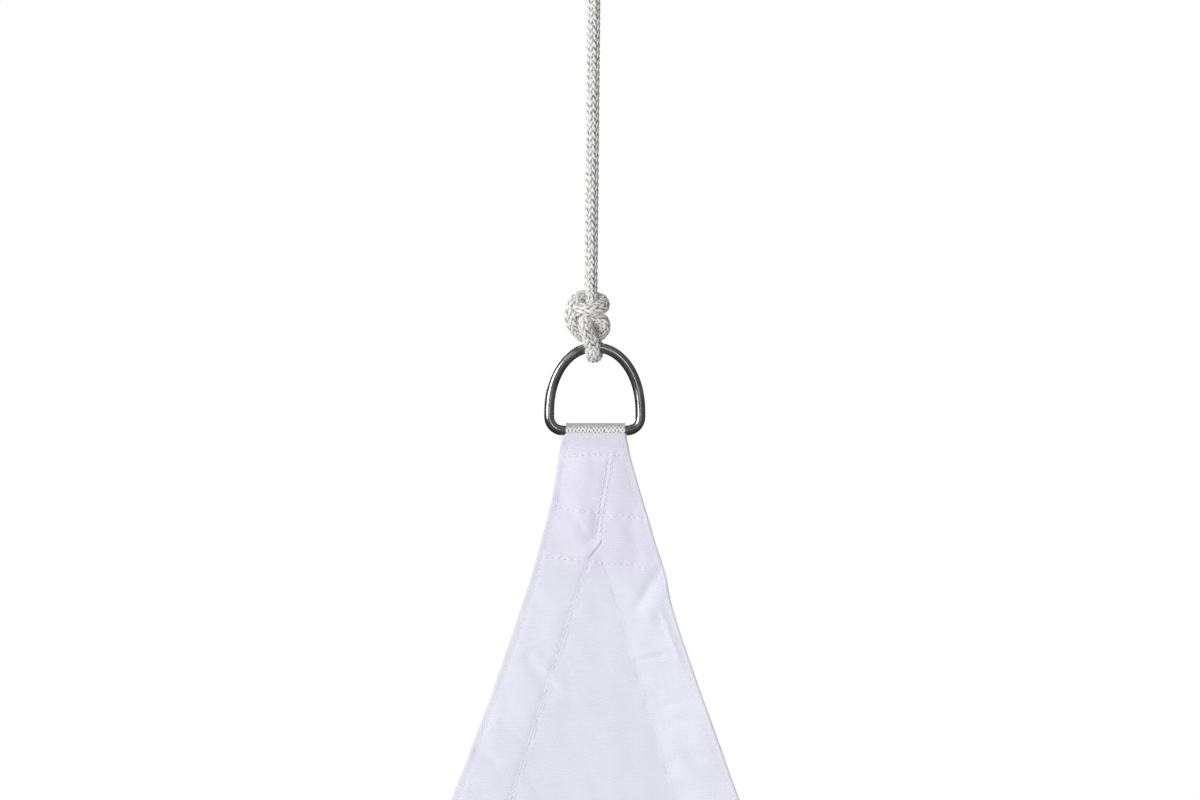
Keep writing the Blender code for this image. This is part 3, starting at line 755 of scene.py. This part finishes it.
# Rows across a corner: their steps, and the places along the edge from which these change
seenRows = {"step": 0.80 * mm, "fineTo": 0.105, "later": 1.15 * mm, "evenTo": 0.215, "most": 12 * mm}
lowerRows = {"step": 2.3 * mm, "fineTo": 0.080, "later": 2.6 * mm, "evenTo": 0.095, "most": 15 * mm}
cornerRows = {"top": seenRows, "left": lowerRows, "right": lowerRows}
cornerSeeds = {"top": 0, "left": 40, "right": 80}
hemShares = (0.0, 0.012, 0.030, 0.052, 0.075, 0.096, 0.118, 0.145, 0.18, 0.22, 0.26, 0.30, 0.34, 0.38, 0.42,
             0.46, 0.50, 0.54, 0.58, 0.62, 0.66, 0.70, 0.74, 0.78, 0.82, 0.86, 0.90, 0.93, 0.955, 0.98, 1.0)
panelShares = (0.012, 0.03, 0.06, 0.10, 0.15, 0.21, 0.28, 0.36, 0.44, 0.53, 0.62, 0.72, 0.82, 0.91)
ledgeRun = 0.45 * mm             # of the step from a hem's inner edge down to the panel


def rowPlaces(step, fineTo, later, evenTo, most):
    # Places of the rows along the straight side, from the mouth to the side's middle
    x = 0.0
    while plainEdge(x)[1] < sail["mouth"]:
        x += 0.01 * mm
    places = [x]
    middle = sail["side"] / 2.0
    while places[-1] + step * 1.4 < middle:
        places.append(places[-1] + step)
        if places[-1] > evenTo:
            step = min(step * 1.16, most)
        elif places[-1] > fineTo:
            step = later
    return places + [middle]


def rowPlan(x):
    # One row across a corner's sector: its points and bands, left to right
    _, down = plainEdge(x)
    left, innerLeft, innerRight, right, squareLeft, squareRight = edgesAt(down)
    toCentre = sail["side"] / math.sqrt(3.0) - sail["wedgeRise"] - plainEdge(sail["side"] / 2.0)[1]
    far = float(smoothStep(*sail["evenFrom"], down))
    middle = np.array([mix(0.5 * (innerLeft + innerRight), 0.0, far),
                       down + toCentre * (2.0 * x / sail["side"]) ** 2])
    hems, panels = [], []
    for edge, seen, sign, square in ((left, innerLeft, 1.0, squareLeft),
                                     (right, innerRight, -1.0, squareRight)):
        start = np.array([edge, down])
        across = (middle - start) / np.linalg.norm(middle - start)
        inward = np.array([sign * square, math.sqrt(max(0.0, 1.0 - square ** 2))])
        inner = mix(np.array([seen, down]), start + across * sail["hem"] / across.dot(inward), far)
        toMiddle = middle - inner
        foot = inner + toMiddle / max(1e-9, np.linalg.norm(toMiddle)) * ledgeRun
        hems.append([mix(start, inner, share) for share in hemShares])
        panels.append([foot] + [mix(foot, middle, share) for share in panelShares])
    points = hems[0] + panels[0] + [middle] + panels[1][::-1] + hems[1][::-1]
    bands = [0] * len(hems[0]) + [1] * (2 * len(panels[0]) + 1) + [2] * len(hems[1])
    return np.array(points), bands


def makeClothMaterial():
    # Plain-woven polyester with a matt water-repellent coat: pale lilac white, soft and even, and
    # brighter in the hems, where two layers let less light through; the right hem is painted brighter still,
    # as painted light. A faint slanting weave shows.
    # The real threads are 0.3 mm apart, so they are drawn coarser to show.
    material, tree, place = startMaterial("coatedPolyesterCloth")
    slant = addNode(tree, "TexWave",      # diagonal bands are twice as wide for their scale
                    {"Scale": 2.0 * bandScale(2.0 * mm), "Distortion": 3.5, "Detail": 2.0,
                     "Detail Scale": 0.5}, place, bands_direction="DIAGONAL")
    warp = addNode(tree, "TexWave", {"Scale": bandScale(1.1 * mm), "Distortion": 0.4}, place,
                   bands_direction="X")
    weft = addNode(tree, "TexWave", {"Scale": bandScale(1.3 * mm), "Distortion": 0.6}, place,
                   bands_direction="Z")
    threads = addNode(tree, "Math", {1: 0.5}, {0: warp.outputs["Fac"], 2: weft.outputs["Fac"]},
                      operation="MULTIPLY_ADD")
    weave = addNode(tree, "Math", {1: 0.5}, {0: slant.outputs["Fac"], 2: threads},
                    operation="MULTIPLY_ADD")
    # Layers and painted light: brighter in the hems, and brighter still in the right hem as painted light
    layers = addNode(tree, "Attribute", attribute_name="shade")
    cloud = addNode(tree, "TexNoise", {"Scale": 1.0 / (35 * mm), "Detail": 5.0, "Roughness": 0.55}, place)
    patches = addNode(tree, "Math", {1: 0.8, 2: -0.60}, {0: cloud}, operation="MULTIPLY_ADD")
    woven = addNode(tree, "Math", {1: 0.20}, {0: weave, 2: patches}, operation="MULTIPLY_ADD")
    level = addNode(tree, "Math", None, {0: layers.outputs["Fac"], 1: woven}, operation="ADD")
    colour = addNode(tree, "ValToRGB", None, {"Fac": level},
                     {0.0: "#E3E0EF", 0.5: "#E3E3F0", 1.0: "#EAEAF7"})
    bump = addNode(tree, "Bump", {"Strength": 0.30, "Distance": 0.10 * mm}, {"Height": weave})
    surface = addNode(tree, "BsdfPrincipled",
                      {"Roughness": 0.80, "IOR": 1.46, "Specular IOR Level": 0.30, "Sheen Weight": 0.08},
                      {"Base Color": colour, "Normal": bump})
    addNode(tree, "OutputMaterial", None, {"Surface": surface})
    return material


def makeSail():
    points, faces, shades, start = [], [], [], 0
    for corner, rows in cornerRows.items():
        plans = [rowPlan(x) for x in rowPlaces(**rows)]
        plan = np.array([row for row, _ in plans])
        band = np.array([bands for _, bands in plans])
        across, down = plan[..., 0], plan[..., 1]
        front, back = clothHeights(across, down, band, cornerSeeds[corner])
        tones = clothTone(across, down)
        # The mouth: the cut edge turns in to the webbing
        narrower, depth = sail["mouthTurn"]
        mouthAcross, mouthDown = across[0] * narrower, down[0] + depth
        onWebbing = fadeOut(*sail["mouthSpan"], np.abs(mouthAcross - sail["bulgeMiddle"]))
        thick = mix(sail["mouthClosed"], webbingHalf(mouthDown) + sail["leastOver"], onWebbing)
        sides = []
        for sign, height in ((-1.0, front), (1.0, back)):
            grid = placeCorner(across, sign * height, down, corner)
            mouth = placeCorner(mouthAcross, sign * thick, mouthDown, corner)
            sides.append(np.concatenate([mouth[None], grid], axis=0))
        count, columns = sides[0].shape[:2]
        size = count * columns
        for index, side in enumerate(sides):
            points.append(side.reshape(-1, 3))
            shades.append(np.concatenate([tones[:1], tones], axis=0).reshape(-1))
            grid = gridFaces(count, columns, start=start + index * size)
            faces.append(grid if index == 0 else grid[:, ::-1])
        rowStarts = start + np.arange(count - 1) * columns
        for column, flip in ((0, True), (columns - 1, False)):
            near = rowStarts + column
            rim = np.stack([near, near + columns, near + columns + size, near + size], axis=1)
            faces.append(rim[:, ::-1] if flip else rim)
        first = start + np.arange(columns - 1)
        faces.append(np.stack([first, first + size, first + size + 1, first + 1], axis=1)[:, ::-1])
        start += 2 * size
    material = makeClothMaterial()
    piece = addPiece("sailCloth", np.vstack(points), np.vstack(faces), material,
                     np.concatenate(shades))
    weld = piece.modifiers.new("weld", "WELD")
    weld.merge_threshold = 0.02 * mm
    return piece


sailPiece = makeSail()
print("sail cloth made,", len(sailPiece.data.polygons), "faces")


# Stitching

stitch = {
    "length": 2.5 * mm, "pitch": 3.1 * mm,
    "kinds": {                   # thread radius, how far it stands proud, and slant to each side of its seam
        "cross": (0.26 * mm, 0.14 * mm, 0.16 * mm),
        "lap": (0.23 * mm, 0.09 * mm, 0.32 * mm),
        "leftInner": (0.22 * mm, 0.09 * mm, 0.28 * mm),
        "rightInner": (0.14 * mm, -0.03 * mm, 0.05 * mm),
        "outer": (0.15 * mm, 0.00 * mm, 0.10 * mm),
    },
    "lapRows": (1.0 * mm, 3.2 * mm),         # in from the left hem's edge, where it lies on the right one
    "lapSpan": (14 * mm, 53 * mm),
    "innerFrom": (66 * mm, 70 * mm),         # down, where the left and right inner seams start
    "closeTo": 0.20,             # down the seen corner, where the finer stitches end
}


def makeThreadMaterial():
    # Bonded polyester sewing thread: white, and slightly glossier than the cloth
    material, tree, place = startMaterial("polyesterThread")
    twist = addNode(tree, "TexNoise", {"Scale": 1.0 / (0.8 * mm), "Detail": 2.0}, place)
    colour = addNode(tree, "ValToRGB", None, {"Fac": twist}, {0.0: "#E8E7F3", 1.0: "#F6F5FD"})
    surface = addNode(tree, "BsdfPrincipled", {"Roughness": 0.55, "IOR": 1.50}, {"Base Color": colour})
    addNode(tree, "OutputMaterial", None, {"Surface": surface})
    return material


def seamPoints(line, step):
    line = np.asarray(line, dtype=float)
    length = runLength(line)
    return pointsAt(np.arange(0.0, length[-1], step), length, line)


def cornerSeams():
    # The seams of the thick corner: points across and down, the band they lie on, and their kind
    lines = [(np.array(line) * mm, None, "cross") for line in crossSeams + lockedSeams]
    down = np.linspace(*stitch["lapSpan"], 60)
    _, innerLeft, _, _, _, _ = edgesAt(down)
    for inset in stitch["lapRows"]:
        lines.append((np.stack([innerLeft - inset, down], axis=1), 0, "lap"))
    return lines


def hemSeams():
    down = np.concatenate([np.linspace(3 * mm, 0.24, 240), np.linspace(0.242, edgeDown[-1], 500)])
    left, innerLeft, innerRight, right, squareLeft, squareRight = edgesAt(down)
    outer, inner = sail["outerStitch"], sail["innerStitch"]
    leftBelow, rightBelow = (down > start for start in stitch["innerFrom"])
    return [
        (np.stack([left + outer / squareLeft, down], axis=1), 0, "outer"),
        (np.stack([right - outer / squareRight, down], axis=1), 2, "outer"),
        (np.stack([innerLeft - inner / squareLeft, down], axis=1)[leftBelow], 0, "leftInner"),
        (np.stack([innerRight + inner / squareRight, down], axis=1)[rightBelow], 2, "rightInner"),
    ]


def addStitches(name, rows, sides, shape, material):
    # Rows hold each stitch's start, end, outward direction, radius and lift. The shape's rings
    # are each a share of the length and of the radius, and how far lifted and sunk.
    start, end, normal, radius, lift = (np.concatenate(parts) for parts in zip(*rows))
    around = circleOf(np.cross(unit(end - start), normal), normal, sides)
    loops = []
    for share, size, lifted, sunk in shape:
        centre = mix(start, end, share) + normal * (lift * lifted - radius * sunk)[:, None]
        loops.append(centre[:, None, :] + around * (radius * size)[:, None, None])
    points = np.stack(loops, axis=1)
    count, rings = points.shape[:2]
    one = tubeFaces(rings, sides)
    faces = [[index + n * rings * sides for index in face] for n in range(count) for face in one]
    return addPiece(name, points, faces, material)


def stitchRow(line, band, kind, corner, front):
    # A line of (across, down) points cut into stitches that lie on the cloth
    radius, lift, slant = stitch["kinds"][kind]
    fine = 0.1 * mm
    dense = seamPoints(line, fine)
    length = np.arange(len(dense)) * fine
    count = int(length[-1] // stitch["pitch"])
    placed = []
    for sign, shift in ((-1.0, 0.0), (1.0, stitch["length"])):
        along = np.arange(count) * stitch["pitch"] + shift
        spots = pointsAt(along, length, dense)
        run = pointsAt(along + fine, length, dense) - spots
        run = run / np.maximum(np.linalg.norm(run, axis=1), 1e-9)[:, None]
        across = spots[:, 0] - sign * slant * run[:, 1]
        down = spots[:, 1] + sign * slant * run[:, 0]
        bands = band
        if band is None:
            _, innerLeft, innerRight, _, _, _ = edgesAt(down)
            bands = np.where(across <= innerLeft, 0, np.where(across < innerRight, 1, 2))
        heights = clothHeights(across, down, np.broadcast_to(bands, across.shape), cornerSeeds[corner])
        placed.append(placeCorner(across, -heights[0] if front else heights[1], down, corner))
    normal = np.tile((0.0, -1.0 if front else 1.0, 0.0), (count, 1))
    return (*placed, normal, np.full(count, radius), np.full(count, lift))


def makeStitches():
    material = makeThreadMaterial()
    nearRows, farRows = [], []
    for corner in cornerRows:
        for front in (True, False):
            cornerList = nearRows if corner == "top" else farRows
            cornerList.extend(stitchRow(*seam, corner, front) for seam in cornerSeams())
            for line, band, kind in hemSeams():
                if corner == "top":
                    close = line[:, 1] < stitch["closeTo"]
                    nearRows.append(stitchRow(line[close], band, kind, corner, front))
                    line = line[~close]
                farRows.append(stitchRow(line, band, kind, corner, front))
    full = ((0.0, 0.45, 0.0, 0.6), (0.12, 0.90, 0.6, 0.0), (0.5, 1.0, 1.0, 0.0), (0.88, 0.90, 0.6, 0.0),
            (1.0, 0.45, 0.0, 0.6))
    plain = ((0.0, 0.5, 0.0, 0.6), (0.5, 1.0, 1.0, 0.0), (1.0, 0.5, 0.0, 0.6))
    close = addStitches("cornerStitches", nearRows, 6, full, material)
    far = addStitches("hemStitches", farRows, 4, plain, material)
    print("stitches made,", len(close.data.polygons) + len(far.data.polygons), "faces")
    return close, far


stitchPieces = makeStitches()


# Webbing loops

webbing = {
    "width": 29.6 * mm, "thick": 1.0 * mm, "clear": 0.3 * mm, "join": 9.0 * mm, "leg": 62.0 * mm,
    "columns": 186,
    "ribs": (1.80 * mm, 2.6 * mm),     # spacing of the raised yarns across and along, really 1.2
    "relief": 0.20 * mm,
    "wander": (0.7, 5 * mm),     # how far the ribs leave their lines, and over what length
    "selvage": 0.5 * mm,         # rounded edge
    "selvageThick": 0.45,        # its share of the thickness
    "topWearAndShade": 0.42,                # painted shade: how much darker the top is painted, where it turns up away from the lamps
    "wornFlat": 0.75,            # how much flatter the top's weave is, where the ring rubs it
    "topSpan": (-0.6 * mm, 2.2 * mm),       # the top, where the ring rubs it and shade is painted: up from the bar's middle
}


def makeWebbingMaterial():
    # Woven polyester webbing: heavier dull white yarn than the cloth. The hollows between its raised yarns
    # are painted dark and its top darker, as painted shade, so it reads as a dotted band.
    material, tree, place = startMaterial("wovenPolyesterWebbing")
    relief = addNode(tree, "Attribute", attribute_name="shade")
    grain = addNode(tree, "TexNoise", {"Scale": 1.0 / (1.2 * mm), "Detail": 2.0}, place)
    level = addNode(tree, "Math", {1: 0.30}, {0: grain, 2: relief.outputs["Fac"]},
                    operation="MULTIPLY_ADD")
    # Painted shade: a low shade turns the white yarn grey, in the hollows and on the top
    colour = addNode(tree, "ValToRGB", None, {"Fac": level}, {0.20: "#68686B", 0.76: "#F8F8FA"})
    surface = addNode(tree, "BsdfPrincipled",
                      {"Roughness": 0.72, "IOR": 1.50, "Sheen Weight": 0.05},
                      {"Base Color": colour})
    addNode(tree, "OutputMaterial", None, {"Surface": surface})
    return material


def strapMiddle():
    # Section of the folded strap's middle line, from the front leg's end, over the bar, to the back
    radius = ring["wire"] + webbing["clear"] + webbing["thick"] / 2.0
    half = webbing["thick"] / 2.0 + 0.01 * mm
    reach = math.hypot(half, webbing["join"])
    angle = math.acos(radius / reach) + math.atan2(half, webbing["join"])
    touch = math.pi / 2.0 - angle
    arc = np.linspace(math.pi + touch, -touch, 60)
    top = [(radius * math.cos(a), radius * math.sin(a)) for a in arc]
    leg = [(-half, -webbing["leg"]), (-half, -30 * mm), (-half, -12 * mm), (-half, -webbing["join"])]
    slope = [mix(np.array(leg[-1]), np.array(top[0]), share) for share in (0.25, 0.5, 0.75)]
    frontSide = leg + [tuple(point) for point in slope]
    return np.array(frontSide + top + [(-y, z) for y, z in reversed(frontSide)])


def makeWebbing():
    material = makeWebbingMaterial()
    middle = strapMiddle()
    tangent = unit(np.gradient(middle, axis=0))
    outward = np.stack([-tangent[:, 1], tangent[:, 0]], axis=1)
    along = runLength(middle)
    place = along[:, None] - along.mean()
    halfWidth = webbing["width"] / 2.0
    across = np.linspace(-halfWidth, halfWidth, webbing["columns"])[None, :]
    edge = np.clip((halfWidth - np.abs(across)) / webbing["selvage"], 0.0, 1.0)
    thin = webbing["selvageThick"]
    half = webbing["thick"] / 2.0 * (thin + (1.0 - thin) * np.sqrt(1.0 - (1.0 - edge) ** 2))

    strength, length = webbing["wander"]
    wander = strength * ripple(across, place, length, 31)
    ribsAcross, ribsAlong = (2.0 * math.pi / spacing for spacing in webbing["ribs"])
    weave = np.cos(ribsAcross * across + wander) * np.cos(ribsAlong * place + wander)
    # The top: the ring rubs its weave flatter, and shade is painted on it
    topWearAndShade = smoothStep(*webbing["topSpan"], middle[:, 1])[:, None]
    weave = 0.5 + 0.5 * weave * (1.0 - webbing["wornFlat"] * topWearAndShade)
    outer = np.maximum(half - webbing["relief"] * (1.0 - weave) * edge, 0.1 * mm)
    layers = []
    for sign, height in ((1.0, outer), (-1.0, np.broadcast_to(half, outer.shape))):
        layers.append(middle[:, None, :] + sign * outward[:, None, :] * height[:, :, None])
    # A closed section for each column: along the outside, and back along the inside
    section = np.concatenate([layers[0], layers[1][::-1]], axis=0)
    y, z = section[..., 0].T, section[..., 1].T
    down = sail["cutEdgeZ"] - ring["barZ"] - z
    # Colour shade of the outside: painted shade in the hollows of the weave and on the top
    shade = np.concatenate([weave * (1.0 - webbing["topWearAndShade"] * topWearAndShade), np.full(weave.shape, 0.5)], axis=0)

    columns, count = y.shape
    faces = gridFaces(columns, count, closedColumns=True).tolist()
    for column in (0, columns - 1):
        for i in range(len(middle) - 1):
            face = [column * count + k for k in (i, i + 1, count - 2 - i, count - 1 - i)]
            faces.append(face if column == 0 else face[::-1])
    made = []
    for corner in sail["corners"]:
        points = placeCorner(np.broadcast_to(across.T, y.shape), y, down, corner)
        piece = addPiece("webbingLoop_" + corner, points, faces, material, shade.T)
        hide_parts("corner_loop_" + corner)
        made.append(piece)
    print("webbing loops made")
    return made


webbingPieces = makeWebbing()


# D-rings

def makeSteelMaterial():
    # Polished stainless steel wire: dark where it mirrors the room, with soft-edged lights and faint
    # rubs and waves left by the polishing
    material, tree, place = startMaterial("polishedStainlessSteel")
    rubs = addNode(tree, "TexNoise", {"Scale": 1.0 / (6.0 * mm), "Detail": 1.0, "Roughness": 0.5}, place)
    roughness = addNode(tree, "MapRange",
                        {"From Min": 0.35, "From Max": 0.70, "To Min": 0.15, "To Max": 0.27},
                        {"Value": rubs})
    colour = addNode(tree, "ValToRGB", None, {"Fac": rubs}, {0.3: "#9C9C9E", 0.7: "#C2C2C4"})
    bump = addNode(tree, "Bump", {"Strength": 0.08, "Distance": 0.05 * mm}, {"Height": rubs})
    surface = addNode(tree, "BsdfPrincipled", {"Metallic": 1.0},
                      {"Base Color": colour, "Roughness": roughness, "Normal": bump})
    addNode(tree, "OutputMaterial", None, {"Surface": surface})
    return material


def ringLine():
    # Closed centreline in a corner's frame, across and up from the bar
    inset = ring["halfWidth"] - ring["fillet"]
    bend = np.radians(np.linspace(-90.0, 0.0, 14))
    right = np.stack([inset + ring["fillet"] * np.cos(bend), ring["fillet"] * (1.0 + np.sin(bend))], axis=1)
    sweep = np.linspace(0.0, math.pi, 142)[1:-1]
    power = 2.0 / ring["squareness"]
    arch = np.stack([ring["halfWidth"] * np.sign(np.cos(sweep)) * np.abs(np.cos(sweep)) ** power,
                     ring["widest"] + (ring["height"] - ring["widest"]) * np.sin(sweep) ** power], axis=1)
    legs = np.linspace(ring["fillet"], ring["widest"], 3)[1:]
    rightLeg = np.stack([np.full(2, ring["halfWidth"]), legs], axis=1)
    left = right[::-1] * (-1.0, 1.0)
    leftLeg = rightLeg[::-1] * (-1.0, 1.0)
    bar = np.stack([np.linspace(-inset, inset, 12)[1:-1], np.zeros(10)], axis=1)
    return np.vstack([right, rightLeg, arch, leftLeg, left, bar])


def makeRings():
    material = makeSteelMaterial()
    line, sides = ringLine(), ring["sides"]
    tangent = unit(np.roll(line, -1, axis=0) - np.roll(line, 1, axis=0))
    outward = np.stack([tangent[:, 1], -tangent[:, 0]], axis=1)
    angle = 2.0 * math.pi * np.arange(sides) / sides
    around = line[:, None, :] + outward[:, None, :] * ring["wire"] * np.cos(angle)[None, :, None]
    across, up = around[..., 0], around[..., 1]
    deep = np.broadcast_to(ring["wire"] * np.sin(angle)[None, :], across.shape)
    down = sail["cutEdgeZ"] - ring["barZ"] - up
    faces = gridFaces(len(line), sides, closedColumns=True)
    last = (len(line) - 1) * sides
    faces = faces.tolist() + [[last + i, last + (i + 1) % sides, (i + 1) % sides, i] for i in range(sides)]
    made = []
    for corner in sail["corners"]:
        shift = ring["hang"] if corner == "top" else 0.0
        points = placeCorner(across + shift, deep, down, corner)
        piece = addPiece("dRing_" + corner, points, [face[::-1] for face in faces], material)
        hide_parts("d_ring_" + corner)
        made.append(piece)
    print("rings made")
    return made


ringPieces = makeRings()

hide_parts("sail_cloth")


# Studio

studio = {
    "floorZ": -2.12, "floorX": 26.0, "floorBack": 13.0, "floorFront": 26.0,
    "background": 1.0,
    # All-round light: its middle level, and how it changes towards +X, +Y and +Z
    "ambient": (0.60, (-0.34, -0.20, -0.16)),
    "reflected": (0.11, (0.0, -0.07, 0.07)),
    "lamps": {                   # azimuth to the left of the camera, elevation, distance, size, watts
        "keyLamp": {"azimuth": 46.0, "elevation": 12.0, "away": 3.0, "size": (1.3, 1.5), "watts": 47.6},
        "frontLamp": {"azimuth": -8.0, "elevation": 9.0, "away": 3.4, "size": (0.5, 1.0), "watts": 4.0},
        "backLamp": {"azimuth": 150.0, "elevation": 20.0, "away": 4.0, "size": (1.6, 1.6), "watts": 50.0},
    },
}


def makeFloor():
    # Matt pale board, which the lamps leave even
    material, tree, place = startMaterial("paintedBoard")
    cloud = addNode(tree, "TexNoise", {"Scale": 3.0}, place)
    colour = addNode(tree, "ValToRGB", None, {"Fac": cloud}, {0.0: "#EDEDED", 1.0: "#F2F2F2"})
    surface = addNode(tree, "BsdfPrincipled", {"Roughness": 0.9}, {"Base Color": colour})
    addNode(tree, "OutputMaterial", None, {"Surface": surface})
    mesh = bpy.data.meshes.new("floor")
    x, z = studio["floorX"], studio["floorZ"]
    front, back = -studio["floorFront"], studio["floorBack"]
    mesh.from_pydata([(-x, front, z), (x, front, z), (x, back, z), (-x, back, z)], [], [(0, 1, 2, 3)])
    mesh.materials.append(material)
    floor = bpy.data.objects.new("floor", mesh)
    floor.visible_glossy = False
    scene.collection.objects.link(floor)


def makeWorld():
    # White behind the object, softer all-round light on it, and a dim room for polished metal
    world = bpy.data.worlds.new("studio")
    world.use_nodes = True
    tree = world.node_tree
    tree.nodes.clear()
    ray = addNode(tree, "LightPath")
    place = addNode(tree, "TexCoord")
    white = {"Color": (1.0, 1.0, 1.0, 1.0)}
    lights = []
    for level, change in (studio["ambient"], studio["reflected"]):
        towards = addNode(tree, "VectorMath", {1: change}, {0: place.outputs["Generated"]},
                          operation="DOT_PRODUCT")
        strength = addNode(tree, "Math", {1: level}, {0: towards.outputs["Value"]},
                           operation="ADD", use_clamp=True)
        lights.append(addNode(tree, "Background", white, {"Strength": strength}))
    backdrop = addNode(tree, "Background", {**white, "Strength": studio["background"]})
    shiny = addNode(tree, "MixShader", None, {0: ray.outputs["Is Glossy Ray"],
                    1: lights[0], 2: lights[1]})
    seen = addNode(tree, "MixShader", None, {0: ray.outputs["Is Camera Ray"], 1: shiny, 2: backdrop})
    addNode(tree, "OutputWorld", None, {"Surface": seen})
    scene.world = world


def makeLamps():
    aim = np.array([0.0, 0.0, -0.30])
    for name, lamp in studio["lamps"].items():
        azimuth, elevation = math.radians(lamp["azimuth"]), math.radians(lamp["elevation"])
        level = math.cos(elevation)
        direction = np.array([-math.sin(azimuth) * level, -math.cos(azimuth) * level, math.sin(elevation)])
        light = bpy.data.lights.new(name, "AREA")
        light.shape = "RECTANGLE"
        light.size, light.size_y = lamp["size"]
        light.energy = lamp["watts"]
        holder = bpy.data.objects.new(name, light)
        holder.location = aim + direction * lamp["away"]
        holder.rotation_euler = (math.radians(90.0) - elevation, 0.0, -azimuth)
        holder.visible_camera = False
        scene.collection.objects.link(holder)


makeFloor()
makeWorld()
makeLamps()
print("studio set")
